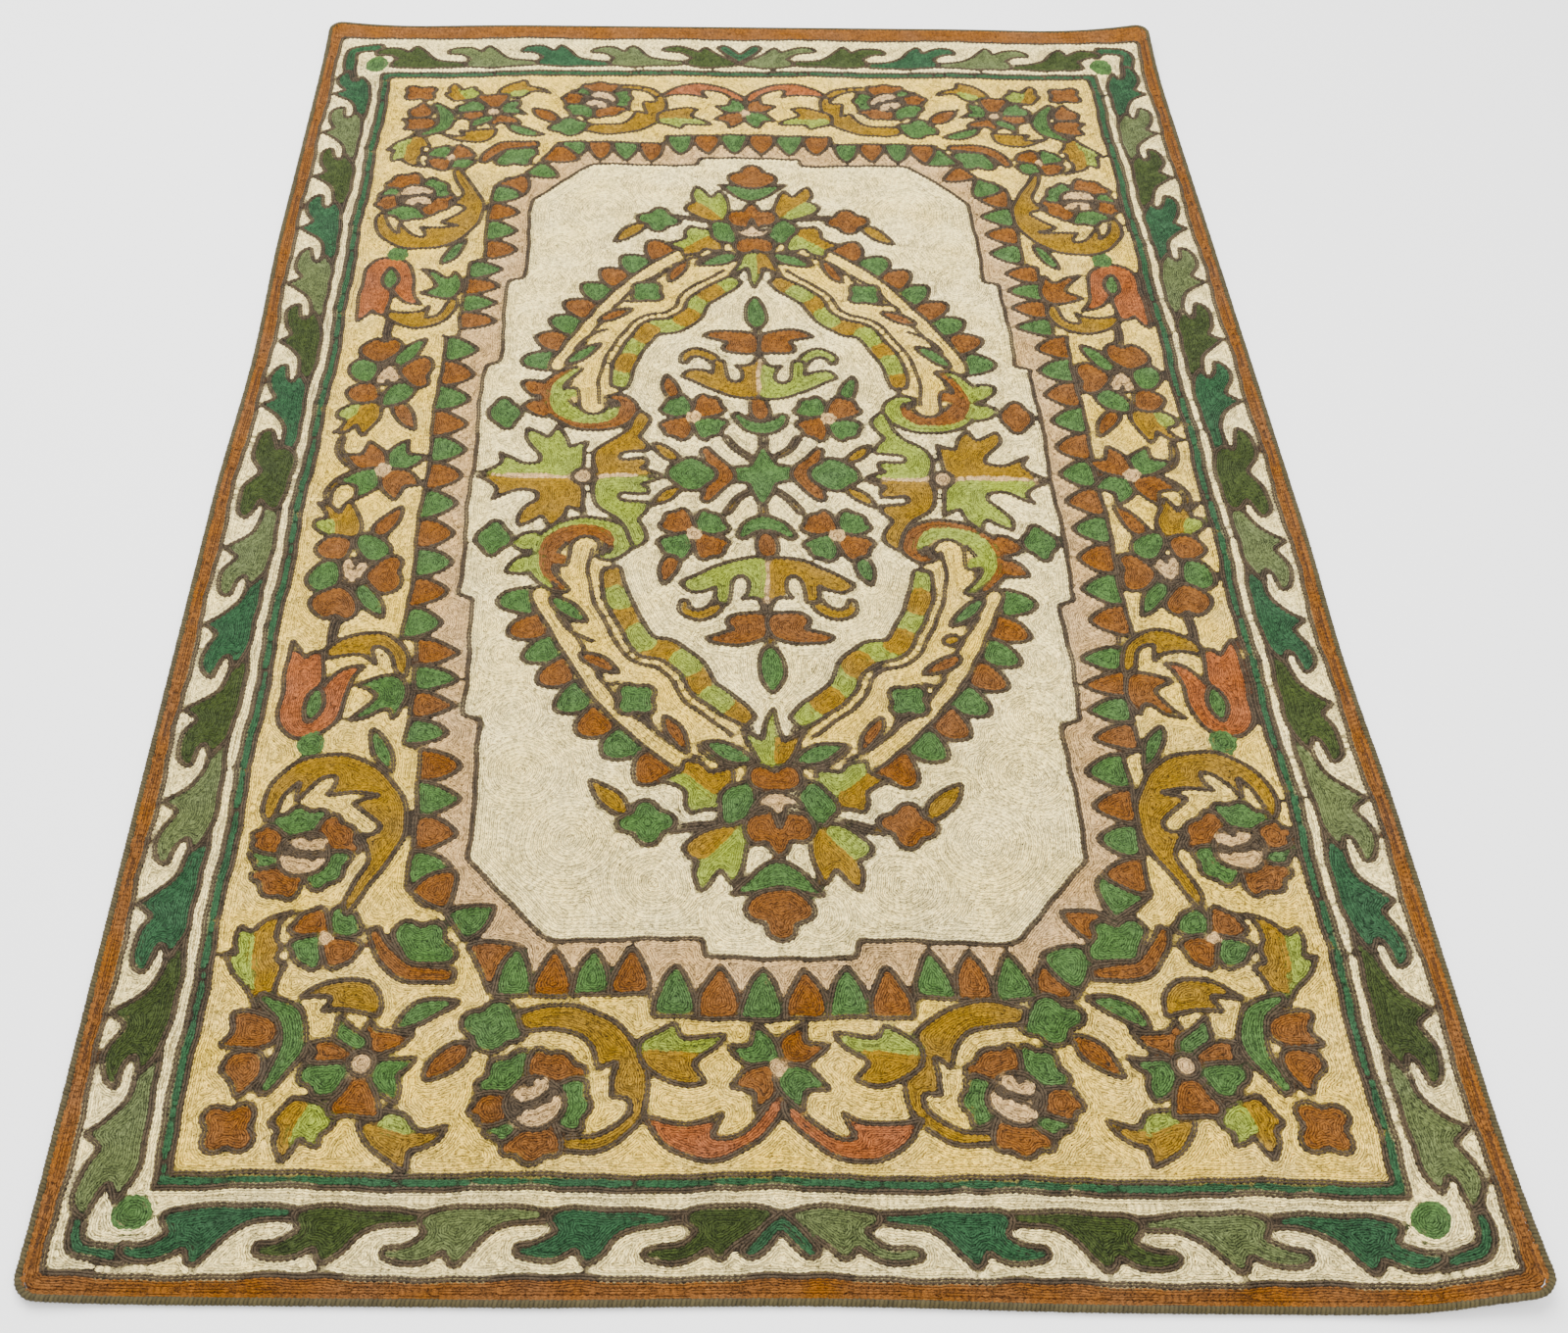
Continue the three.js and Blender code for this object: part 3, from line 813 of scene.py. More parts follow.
# The marked canvas. The design is marked on it as a map of 1 mm cells, which says of each cell
# which drawn shape owns it and in which yarn it is worked. Later shapes lie over earlier ones.
YARNS = ("ivory", "gold", "rust", "grass", "teal", "olive", "sage", "ochre", "lime", "salmon", "blush",
         "bark")
MAP_HALF = np.array([450, 715])
OUTLINE_HALF = 2.0                 # half the width that an outline takes up on the map
LINE_STEP = 0.8                    # along a line whose cells are looked for: less than one cell


def cells_inside(outline):
    """The cells whose middle lies inside a closed outline. In each row of cells the edges that
    cross it are counted from the right, and where the count is odd the cell is inside."""
    low = np.clip(np.floor(outline.min(axis=0)).astype(int) + MAP_HALF, 0, 2 * MAP_HALF)
    high = np.clip(np.ceil(outline.max(axis=0)).astype(int) + MAP_HALF, 0, 2 * MAP_HALF)
    rows = np.arange(low[1], high[1])
    x0, y0 = (outline + MAP_HALF - 0.5).T
    x1, y1 = np.roll(x0, -1), np.roll(y0, -1)
    r, e = np.nonzero((y0 > rows[:, None]) != (y1 > rows[:, None]))
    crossing = x0[e] + (rows[r] - y0[e]) * (x1[e] - x0[e]) / (y1[e] - y0[e])
    counts = np.zeros((len(rows), high[0] - low[0] + 1), int)
    np.add.at(counts, (r, np.clip(np.ceil(crossing).astype(int) - low[0], 0, high[0] - low[0])), 1)
    odd = np.cumsum(counts[:, ::-1], axis=1)[:, ::-1][:, 1:] % 2 == 1
    i, j = np.nonzero(odd)
    return i + low[1], j + low[0]


def walked(line, step):
    """Points along an open line, evenly spaced by its arc length, about a step apart."""
    far = distance_along(line)
    return at_distance(np.linspace(0, far[-1], max(int(round(far[-1] / step)), 1) + 1), far, line)


def cells_near(line):
    """The cells whose middle lies within half an outline's width of a line."""
    points = walked(line, LINE_STEP) + MAP_HALF
    reach = int(OUTLINE_HALF) + 1
    near_by = np.arange(-reach, reach + 1)
    window = np.stack(np.meshgrid(near_by, near_by), axis=-1).reshape(-1, 2)
    cells = np.floor(points).astype(int)[:, None] + window
    near = np.linalg.norm(cells + 0.5 - points[:, None], axis=2) <= OUTLINE_HALF
    j, i = np.clip(cells[near], 0, 2 * MAP_HALF - 1).T
    return i, j


def outline_of(kind, points):
    """A row as it is, and a shape's outline closed."""
    return points if kind == "row" else np.vstack([points, points[:1]])


def divided(points, longest=9.0):
    """The same line with places added on its long straight stretches, none of them over longest."""
    steps = np.diff(points, axis=0)
    parts = np.ceil(np.linalg.norm(steps, axis=1) / longest).astype(int).clip(1)
    share = (np.arange(parts.sum()) - np.repeat(np.cumsum(parts) - parts, parts)) / np.repeat(parts, parts)
    places = np.repeat(points[:-1], parts, axis=0) + share[:, None] * np.repeat(steps, parts, axis=0)
    return np.vstack([places, points[-1:]])


def by_hand(points):
    """No line is marked quite straight: points moved by slow waves of 1.2 mm, and by quicker ones
    of about half that. Shapes that touch are moved alike."""
    x, y = points.T
    sway_x = 1.2 * np.sin(y / 21 + 1.7 * np.sin(x / 67)) + 0.55 * np.sin(y / 5.3 + x / 8.1)
    sway_y = 1.2 * np.sin(x / 24 + 1.9 * np.sin(y / 59)) + 0.55 * np.sin(x / 5.9 - y / 7.7)
    return points + np.stack([sway_x, sway_y], axis=1)


# How far the far end was worked nearer to the middle than it was marked, by the marked y. It
# lies a little askew too: it is up to FAR_LEFT nearer at its left end, from the first to the second
# of ASKEW_X, by a share that its marked y sets.
FAR_END = np.array([(430, 0), (556, 10), (600, 14), (634, 20), (649, 20), (653, 17), (695, 9), (704, 10),
                    (721, 0)], float)
FAR_LEFT = 9.0
ASKEW_X = (-385, -150)
ASKEW_Y = np.array([(480, 0), (640, 1), (695, 0.4), (704, 0)], float)


def as_worked(points):
    """The marked points moved to where they were worked."""
    x, y = points.T
    askew = FAR_LEFT * np.interp(y, *ASKEW_Y.T) * np.clip((ASKEW_X[1] - x) / (ASKEW_X[1] - ASKEW_X[0]), 0, 1)
    return np.stack([x, y - np.interp(y, *FAR_END.T) - askew], axis=1)


# owner holds the number of each cell's shape, or minus that number where its outline runs, and
# yarn_map holds its yarn's place in YARNS.
owner = np.zeros(2 * MAP_HALF[::-1], np.int32)
yarn_map = np.zeros(2 * MAP_HALF[::-1], np.int8)
drawing = [(kind, by_hand(as_worked(divided(outline_of(kind, points)))), yarn)
           for kind, points, yarn in design()]
ground = 0
for number, (kind, points, yarn) in enumerate(drawing, start=1):
    if kind != "row":
        cells = cells_inside(points)
        if kind == "inlay":
            mine = owner[cells] == ground
            cells = cells[0][mine], cells[1][mine]
        else:
            ground = number
        owner[cells], yarn_map[cells] = number, YARNS.index(yarn)
    if kind in ("worked", "row"):
        cells = cells_near(points)
        owner[cells], yarn_map[cells] = -number, YARNS.index("bark")

# The outline rows: chain stitch in grey-brown along each drawn outline, where nothing drawn
# later lies over it. A stitch is its two ends.
OUTLINE_STITCH = 3.9


def map_value(table, points):
    """The value of the cell that each point lies in."""
    j, i = np.clip(np.floor(points + MAP_HALF).astype(int), 0, 2 * MAP_HALF - 1).T
    return table[i, j]


row_starts, row_ends = [], []
for number, (kind, points, yarn) in enumerate(drawing, start=1):
    if kind in ("worked", "row"):
        stops = walked(points, OUTLINE_STITCH)
        mine = map_value(owner, 0.5 * (stops[:-1] + stops[1:])) == -number
        row_starts.append(stops[:-1][mine])
        row_ends.append(stops[1:][mine])
row_starts, row_ends = np.vstack(row_starts), np.vstack(row_ends)

# The fill rows: each shape is filled with rows of chain stitch that echo its outline, the first
# row half a pitch inside it and each next one a pitch further in.
STITCH = 4.6
ROW_PITCH = 2.9
FARTHEST = 78                      # cells, past the middle of the widest shape
DOUBLINGS = 18                     # a loop has fewer than 2^18 short lines
SHORTEST_LOOP = 5                  # mm: a shorter one is left to the single stitches


def depth_inside(labels):
    """How far each cell is from the nearest cell of another shape, in cells. The distance up or
    down its own column comes first, then the least of sqrt(that^2 + across^2) over the columns
    up to FARTHEST away."""
    rows = np.arange(len(labels))[:, None]
    starts = np.ones(labels.shape, bool)
    starts[1:] = labels[1:] != labels[:-1]
    ends = np.ones(labels.shape, bool)
    ends[:-1] = starts[1:]
    below = rows - np.maximum.accumulate(np.where(starts, rows, 0), axis=0) + 1
    above = np.minimum.accumulate(np.where(ends, rows, len(labels))[::-1], axis=0)[::-1] - rows + 1
    columns = np.arange(labels.shape[1])
    in_column = np.minimum(below, above).astype(np.float32) ** 2
    least = np.minimum(in_column, (np.minimum(columns, columns[::-1]) + 1.0).astype(np.float32) ** 2)
    for step in range(1, FARTHEST):
        far = np.float32(step * step)
        other = labels[:, step:] != labels[:, :-step]
        right = np.where(other, far, in_column[:, step:] + far)
        left = np.where(other, far, in_column[:, :-step] + far)
        least[:, :-step] = np.minimum(least[:, :-step], right)
        least[:, step:] = np.minimum(least[:, step:], left)
    return np.sqrt(least)


def softened(table, times=1):
    """Each cell's mean with its eight neighbours, so that rows turn without a jag."""
    for _ in range(times):
        edge = np.pad(table, 1, mode="edge")
        table = (edge[:-2] + edge[1:-1] + edge[2:]) / 3
        table = (table[:, :-2] + table[:, 1:-1] + table[:, 2:]) / 3
    return table


def level_lines(table, levels):
    """Short directed lines where a table on the cells crosses each level, higher on their left.
    Returns the two ends of each and, for each end, the number of the cell edge that it lies on."""
    # For each of the 16 ways in which a cell's corners can be over the level, the edges from and
    # to which its lines run: 0 front, 1 right, 2 back, 3 left.
    ways = {1: [(0, 3)], 2: [(1, 0)], 3: [(1, 3)], 4: [(2, 1)], 5: [(0, 3), (2, 1)], 6: [(2, 0)],
            7: [(2, 3)], 8: [(3, 2)], 9: [(0, 2)], 10: [(1, 0), (3, 2)], 11: [(1, 2)], 12: [(3, 1)],
            13: [(0, 1)], 14: [(3, 0)]}
    edge_from = ((0, 0), (0, 1), (1, 0), (0, 0))
    edge_to = ((0, 1), (1, 1), (1, 1), (1, 0))
    count, width = table.size, table.shape[1]
    ends, numbers = [], []
    for k, level in enumerate(levels):
        over = table >= level
        case = over[:-1, :-1] + 2 * over[:-1, 1:] + 4 * over[1:, 1:] + 8 * over[1:, :-1]
        for way, lines in ways.items():
            i, j = np.nonzero(case == way)
            for line in lines:
                pair, ids = [], []
                for edge in line:
                    (i0, j0), (i1, j1) = edge_from[edge], edge_to[edge]
                    a, b = table[i + i0, j + j0], table[i + i1, j + j1]
                    t = (level - a) / (b - a)
                    pair.append(np.stack([j + j0 + t * (j1 - j0), i + i0 + t * (i1 - i0)], axis=1))
                    ids.append((((i + i0) * width + j + j0) * 2 + (edge % 2)) + 2 * count * k)
                ends.append(np.stack(pair, axis=1))
                numbers.append(np.stack(ids, axis=1))
    return np.concatenate(ends) + 0.5 - MAP_HALF, np.concatenate(numbers)


def stitched_loops(ends, numbers, random):
    """Even stitches along closed lines. Each short line points at the one that starts where it
    ends, and by doubling those pointers each learns its loop's first line and how far it is from
    it. A loop then gets a whole number of stitches, about STITCH long."""
    order = np.argsort(numbers[:, 0])
    following = order[np.searchsorted(numbers[order, 0], numbers[:, 1])]
    length = np.linalg.norm(ends[:, 1] - ends[:, 0], axis=1)
    first, pointer = np.arange(len(length)), following
    for _ in range(DOUBLINGS):
        first = np.minimum(first, first[pointer])
        pointer = pointer[pointer]
    heads = first == np.arange(len(length))
    ahead, pointer = np.where(heads, 0.0, length), np.where(heads, np.arange(len(length)), following)
    for _ in range(DOUBLINGS):
        ahead = ahead + ahead[pointer]
        pointer = pointer[pointer]
    total = np.zeros(len(length))
    total[heads] = length[heads] + ahead[following[heads]]
    total = total[first]
    along = np.where(heads, 0.0, total - ahead)
    order = np.lexsort([along, first])
    loop_heads = np.flatnonzero(heads[order])
    loop_total = total[order][loop_heads]
    offset = np.concatenate([[0], np.cumsum(loop_total + 1.0)])
    loop = np.cumsum(heads[order]) - 1
    places = np.insert(offset[loop] + along[order], loop_heads[1:], offset[1:-1] - 1.0)
    places = np.append(places, offset[-1] - 1.0)
    points = ends[order, 0]
    closing = points[loop_heads]
    points = np.insert(points, loop_heads[1:], closing[:-1], axis=0)
    points = np.vstack([points, closing[-1:]])
    count = np.where(loop_total < SHORTEST_LOOP, 0, np.maximum(np.round(loop_total / STITCH), 2)).astype(int)
    mine = np.repeat(np.arange(len(count)), count)
    number = np.arange(len(mine)) - np.repeat(np.cumsum(count) - count, count)
    step = loop_total[mine] / count[mine]
    phase = random.random(len(count))[mine]
    result = []
    for shift in (0, 1):
        at = offset[mine] + np.mod((number + phase + shift) * step, loop_total[mine])
        result.append(at_distance(at, places, points))
    return result


random = np.random.default_rng(7)
depth = depth_inside(owner)
depth[owner <= 0] = 0
depth = softened(depth, 2)
levels = 0.5 + ROW_PITCH * (0.5 + np.arange(int(depth.max() / ROW_PITCH) + 1))
fill_starts, fill_ends = stitched_loops(*level_lines(depth, levels), random)

# Single stitches: a shape's middle gets them where its half width is over THINNEST, where the
# table is flatter than FLAT, and where its last two rows leave more than GAP of a pitch. Each
# square of BLOCK cells gets one.
THINNEST = 1.2
FLAT = 0.6
GAP = 0.58
BLOCK = 4
SINGLE_HALF = 0.42                 # half a single stitch's length, as a share of STITCH


def ridge_stitches(table):
    """Single stitches along the middle of a shape, where its last two rows leave a gap. The way
    they lie is across the steepest way of the table, averaged over the cells near."""
    down, right = np.gradient(table)
    parts = [softened(part, 3) for part in (right * right, right * down, down * down)]
    across = 0.5 * np.arctan2(2 * parts[1], parts[0] - parts[2])
    gap = np.mod(table - 0.5 - 0.5 * ROW_PITCH, ROW_PITCH)
    worth = (owner > 0) & (np.hypot(right, down) < FLAT) & (gap > GAP * ROW_PITCH) & (table > THINNEST)
    i, j = np.nonzero(worth)
    block = (i // BLOCK) * table.shape[1] + j // BLOCK
    order = np.lexsort([-table[i, j], block])
    best = order[np.unique(block[order], return_index=True)[1]]
    i, j = i[best], j[best]
    middle = np.stack([j, i], axis=1) + 0.5 - MAP_HALF
    lie = across[i, j] + 0.5 * np.pi
    half = SINGLE_HALF * STITCH * np.stack([np.cos(lie), np.sin(lie)], axis=1)
    return middle - half, middle + half


ridge_starts, ridge_ends = ridge_stitches(depth)


# The canvas: one cotton cloth, hidden by its wool but for what shows between the stitches, where
# fluff of the same yarns colours it, painted darker as the shade between the stitches. It lies flat
# but for its four corners, which curl up, and its sides run a little inside the true rectangle
# where the work has drawn them in.
WIDTH, LENGTH = 910.0, 1440.0
RUG_HALF = np.array([WIDTH / 2, LENGTH / 2])
CANVAS_INSET = 5.8                 # from the rug's outline to the canvas's edge
CANVAS_CORNER = 11.2               # the radius of its corners
CANVAS_TOP = 3.1                   # how high its face is over the floor
GRID_STEP = 6.6
DRAW_REACH = 190.0
# Each corner's way out in x and y, how high it curls, and how far the curl reaches.
CORNER_CURLS = ((-1, -1, 5, 95), (1, -1, 14, 150), (-1, 1, 9, 125), (1, 1, 14, 140))
# Each side: the axis it faces along, its way out, and its bumps: place, depth, half length.
SIDE_DRAWS = (
    (0, -1, ((140, 4, 190),)), (0, 1, ((-210, 3, 150),)),
    (1, -1, ((455, 7, 95), (20, 2.5, 190))), (1, 1, ((-455, 7, 230), (455, 5, 230))),
)


def smooth(t):
    """Rises from 0 to 1 as t does: 3t^2 - 2t^3."""
    t = np.clip(t, 0, 1)
    return t * t * (3 - 2 * t)


def laid(points, height):
    """Points of the true, flat rug, at heights over its underside, in the shape in which it lies:
    moved in by each bump of a side, depth * smooth(1 - along / half length), which fades away
    over DRAW_REACH, and lifted by each corner, rise * (1 - away / reach)^2."""
    drawn = points.astype(float).copy()
    for axis, out, bumps in SIDE_DRAWS:
        on_side = points[:, axis] * out > 0
        felt = smooth(1 - (RUG_HALF[axis] - np.abs(points[:, axis])) / DRAW_REACH) * on_side
        for place, bump, half in bumps:
            drawn[:, axis] -= out * bump * felt * smooth(1 - np.abs(points[:, 1 - axis] - place) / half)
    lift = np.zeros(len(points))
    for side_x, side_y, rise, reach in CORNER_CURLS:
        away = RUG_HALF.sum() - side_x * drawn[:, 0] - side_y * drawn[:, 1]
        lift += rise * np.maximum(0, 1 - away / reach) ** 2
    return np.column_stack([drawn, lift + height]) * MM


def new_piece(name, points, triangles, material):
    """A smooth mesh piece from arrays of points and of triangles."""
    mesh = bpy.data.meshes.new(name)
    mesh.vertices.add(len(points))
    mesh.vertices.foreach_set("co", np.ascontiguousarray(points, np.float32).ravel())
    mesh.loops.add(3 * len(triangles))
    mesh.loops.foreach_set("vertex_index", np.ascontiguousarray(triangles, np.int32).ravel())
    mesh.polygons.add(len(triangles))
    mesh.polygons.foreach_set("loop_start", np.arange(0, 3 * len(triangles), 3, dtype=np.int32))
    mesh.update(calc_edges=True)
    mesh.shade_smooth()
    mesh.materials.append(material)
    piece = bpy.data.objects.new(name, mesh)
    bpy.context.collection.objects.link(piece)
    return piece


def lay_flat_map(piece):
    """A UV map, named OFBake, that looks straight down on the rug."""
    mesh = piece.data
    place = np.empty(3 * len(mesh.vertices), np.float32)
    mesh.vertices.foreach_get("co", place)
    corner = np.empty(len(mesh.loops), np.int32)
    mesh.loops.foreach_get("vertex_index", corner)
    flat = place.reshape(-1, 3)[corner, :2] / (LENGTH * MM) + 0.5
    layer = mesh.uv_layers.new(name="OFBake")
    layer.data.foreach_set("uv", flat.ravel())


# The wool yarn, as its strand attribute gives it: x is how far along the stitch a point is, y how
# far across it, both in millimetres, and z is the stitch's own number from 0 to 1.
STRAND_RIDGE = 0.95                # how far a strand's ridge is from the stitch's middle line
STRAND_HALF = 0.85                 # half a strand's width
PAINTED_CREASE_SHADE, PAINTED_CREASE_SHADE_MOST = 0.6, 0.55    # painted shade: how much darker a strand's edges are painted, and the most
DRIFT_SCALE = 14.0                 # per metre: a patch of dye is about 70 mm across
FADE_SCALE = 23.0
FLECK_SCALE = 900.0
FADE = 0.25                        # how far the yarn's vividness differs from patch to patch
ROUGHNESS, ROUGHNESS_SPREAD = 0.9, 0.12
PLY_TURN = 5.7                     # radians for each mm: a ply shows every 1.1 mm
PLY_SLANT = 1.6                    # how far along the stitch a ply goes for each mm across it
PLY_HEIGHT = 0.35                  # how much the plies count in the bump, beside the fleck


def yarn_group():
    """Wool yarn. Each stitch is dyed a little lighter or darker by its own number, the dye drifts
    over a hand's breadth, the yarn is flecked, and painted shade darkens its strands' edges."""
    group = bpy.data.node_groups.new("wool yarn", "ShaderNodeTree")
    sockets = (("Colour", "INPUT", "NodeSocketColor"), ("Stitch spread", "INPUT", "NodeSocketFloat"),
               ("Dye drift", "INPUT", "NodeSocketFloat"), ("Fleck", "INPUT", "NodeSocketFloat"),
               ("Colour", "OUTPUT", "NodeSocketColor"), ("Roughness", "OUTPUT", "NodeSocketFloat"),
               ("Height", "OUTPUT", "NodeSocketFloat"))
    for name, way, kind in sockets:
        group.interface.new_socket(name=name, in_out=way, socket_type=kind)
    nodes, links = group.nodes, group.links

    def node(kind, **values):
        made = nodes.new(kind)
        for key, value in values.items():
            setattr(made, key, value)
        return made

    def maths(operation, a, b):
        made = node("ShaderNodeMath", operation=operation)
        for socket, value in zip(made.inputs, (a, b)):
            if isinstance(value, (int, float)):
                socket.default_value = value
            else:
                links.new(value, socket)
        return made.outputs[0]

    given = node("NodeGroupInput")
    out = node("NodeGroupOutput")
    place = node("ShaderNodeTexCoord").outputs["Object"]

    def noise(scale, detail=2.0):
        made = node("ShaderNodeTexNoise")
        made.inputs["Scale"].default_value = scale
        made.inputs["Detail"].default_value = detail
        links.new(place, made.inputs["Vector"])
        return maths("SUBTRACT", made.outputs["Fac"], 0.5)

    strand = node("ShaderNodeAttribute", attribute_name="strand")
    split = node("ShaderNodeSeparateXYZ")
    links.new(strand.outputs["Vector"], split.inputs[0])
    own = maths("SUBTRACT", split.outputs["Z"], 0.5)
    drift, fleck = noise(DRIFT_SCALE), noise(FLECK_SCALE, 3.0)
    change = maths("ADD", maths("MULTIPLY", own, given.outputs["Stitch spread"]),
                   maths("MULTIPLY", drift, given.outputs["Dye drift"]))
    change = maths("ADD", change, maths("MULTIPLY", fleck, given.outputs["Fleck"]))
    # Painted shade: both edges of a strand are painted darker than its ridge, by the square of how far off it
    # they are.
    off_middle = maths("ABSOLUTE", split.outputs["Y"], 0.0)
    off_ridge = maths("DIVIDE", maths("SUBTRACT", off_middle, STRAND_RIDGE), STRAND_HALF)
    painted_crease_shade = maths("MULTIPLY", maths("MULTIPLY", off_ridge, off_ridge), PAINTED_CREASE_SHADE)
    change = maths("SUBTRACT", change, maths("MINIMUM", painted_crease_shade, PAINTED_CREASE_SHADE_MOST))
    shade = node("ShaderNodeHueSaturation")
    links.new(maths("ADD", change, 1.0), shade.inputs["Value"])
    links.new(maths("SUBTRACT", 1.0, maths("MULTIPLY", noise(FADE_SCALE), FADE)), shade.inputs["Saturation"])
    links.new(given.outputs["Colour"], shade.inputs["Color"])
    links.new(shade.outputs["Color"], out.inputs["Colour"])
    links.new(maths("ADD", ROUGHNESS, maths("MULTIPLY", fleck, ROUGHNESS_SPREAD)), out.inputs["Roughness"])
    # The plies lie aslant along the stitch, and the fleck stands on top of them.
    slant = maths("ADD", split.outputs["X"], maths("MULTIPLY", split.outputs["Y"], PLY_SLANT))
    ply = maths("SINE", maths("MULTIPLY", slant, PLY_TURN), 0.0)
    links.new(maths("ADD", maths("MULTIPLY", ply, PLY_HEIGHT), fleck), out.inputs["Height"])
    return group


WOOL = yarn_group()


def linear(colour):
    """A colour from 0 to 255 as light: ((c + 0.055) / 1.055)^2.4, or c / 12.92 where dark."""
    c = np.array(colour, float) / 255
    return (*np.where(c <= 0.04045, c / 12.92, ((c + 0.055) / 1.055) ** 2.4), 1.0)


def wool(name, colour, spread=0.5, drift=0.35, fleck=2.2, depth=0.35):
    """A material of one yarn. colour is one colour, or the name of a colour attribute. spread,
    drift and fleck are shares of its brightness, and depth is its bump in millimetres."""
    material = bpy.data.materials.new(name)
    material.use_nodes = True
    nodes, links = material.node_tree.nodes, material.node_tree.links
    shader = nodes["Principled BSDF"]
    shader.inputs["Specular IOR Level"].default_value = 0.1
    shader.inputs["Sheen Weight"].default_value = 0.04
    shader.inputs["Sheen Roughness"].default_value = 0.6
    group = nodes.new("ShaderNodeGroup")
    group.node_tree = WOOL
    group.inputs["Stitch spread"].default_value = spread
    group.inputs["Dye drift"].default_value = drift
    group.inputs["Fleck"].default_value = fleck
    if isinstance(colour, str):
        attribute = nodes.new("ShaderNodeAttribute")
        attribute.attribute_name = colour
        links.new(attribute.outputs["Color"], group.inputs["Colour"])
    else:
        group.inputs["Colour"].default_value = linear(colour)
    bump = nodes.new("ShaderNodeBump")
    bump.inputs["Distance"].default_value = depth * MM
    bump.inputs["Strength"].default_value = 0.8
    links.new(group.outputs["Height"], bump.inputs["Height"])
    links.new(bump.outputs["Normal"], shader.inputs["Normal"])
    links.new(group.outputs["Colour"], shader.inputs["Base Color"])
    links.new(group.outputs["Roughness"], shader.inputs["Roughness"])
    return material


# Each yarn's colour, from 0 to 255, and how much darker its fluff on the canvas is painted beside it,
# as painted shade between the stitches.
YARN_COLOURS = {
    "ivory": (251, 229, 156), "gold": (239, 204, 90), "rust": (124, 77, 28), "grass": (73, 104, 52),
    "teal": (45, 80, 50), "olive": (59, 70, 32), "sage": (95, 105, 62), "ochre": (144, 109, 15),
    "lime": (140, 153, 51), "salmon": (152, 86, 41), "blush": (205, 168, 110), "bark": (72, 60, 45),
}
FLUFF_PAINTED_SHADE = 0.8


def canvas_grid():
    """A grid over the canvas. Each corner's square is carried to a quarter of a disc, by
    (x, y) -> (x sqrt(1 - y^2 / 2), y sqrt(1 - x^2 / 2))."""
    half = RUG_HALF - CANVAS_INSET
    counts = np.round(2 * half / GRID_STEP).astype(int)
    x, y = (np.linspace(-half[axis], half[axis], counts[axis] + 1) for axis in (0, 1))
    points = np.stack(np.meshgrid(x, y), axis=-1)
    past = np.clip((np.abs(points) - (half - CANVAS_CORNER)) / CANVAS_CORNER, 0, 1)
    disc_share = past * np.sqrt(1 - past[..., ::-1] ** 2 / 2)
    corner = (past > 0).all(axis=-1, keepdims=True)
    round_in = np.sign(points) * (half - CANVAS_CORNER + disc_share * CANVAS_CORNER)
    return np.where(corner, round_in, points)


def grid_triangles(at):
    """Two triangles for each square of a grid, whose points' numbers are at."""
    a, b, c, d = at[:-1, :-1].ravel(), at[:-1, 1:].ravel(), at[1:, 1:].ravel(), at[1:, :-1].ravel()
    return np.vstack([np.stack([a, b, c], axis=1), np.stack([a, c, d], axis=1)])


def canvas():
    """The canvas as one closed mesh: its face, its underside, and the wall round them."""
    grid = canvas_grid()
    rows, columns = grid.shape[:2]
    flat = grid.reshape(-1, 2)
    points = np.vstack([laid(flat, CANVAS_TOP), laid(flat, 0.0)])
    at = np.arange(rows * columns).reshape(rows, columns)
    face = grid_triangles(at)
    rim = np.concatenate([at[0, :-1], at[:-1, -1], at[-1, :0:-1], at[:0:-1, 0]])
    following = np.roll(rim, -1)
    under = rows * columns
    wall = np.vstack([np.stack([rim + under, following + under, following], axis=1),
                      np.stack([rim + under, following, rim], axis=1)])
    piece = new_piece("canvas", points, np.vstack([face, face[:, ::-1] + under, wall]),
                      wool("fluff in painted shade between the stitches", "fluff_colour_with_painted_shade", spread=0.0))
    # Painted shade: the fluff takes its yarn's colour made darker by the fluff's shade share, and the wool
    # material darkens it again by the most of its strands' painted edge shade, since the canvas has no strand
    # attribute.
    palette = FLUFF_PAINTED_SHADE * np.array([linear(YARN_COLOURS[yarn]) for yarn in YARNS], np.float32)
    colours = palette[map_value(yarn_map, flat)]
    colours[:, 3] = 1.0
    layer = piece.data.color_attributes.new("fluff_colour_with_painted_shade", "FLOAT_COLOR", "POINT")
    layer.data.foreach_set("color", np.vstack([colours, colours]).ravel())
    return piece


cloth = canvas()
lay_flat_map(cloth)
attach(cloth, "root")
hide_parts("worked_cloth")

# The chain stitches, one piece for each yarn, and two for the ivory, which the border and the
# field share. A stitch is a loop of two strands, and the next loop holds its end down.
STITCH_WIDTH = 3.3
OUTLINE_WIDTH = 5.0
STITCH_HEIGHT = 1.75
WIDTH_SPREAD = 0.1                 # the share by which a stitch's width may differ, either way
HEIGHT_SPREAD = 0.15
SWAY = 0.12                        # how far sideways its top may lean
# One strand, (along, across, up) as shares of the stitch's length, width and height: its start,
# its inner edge, its ridge, its outer edge and its end.
STRAND = np.array([(-0.22, 0.06, 0.55), (0.50, 0.03, 0.20), (0.50, 0.27, 1.0), (0.46, 0.50, -0.25),
                   (1.22, 0.16, 0.20)])
STRAND_TRIANGLES = np.array([(0, 2, 3), (0, 1, 2), (2, 4, 3), (1, 4, 2)])


def set_strands(piece, strands):
    """Gives each point of a piece its place on its own stitch, for the yarn's material."""
    layer = piece.data.attributes.new("strand", "FLOAT_VECTOR", "POINT")
    layer.data.foreach_set("vector", strands.astype(np.float32).ravel())


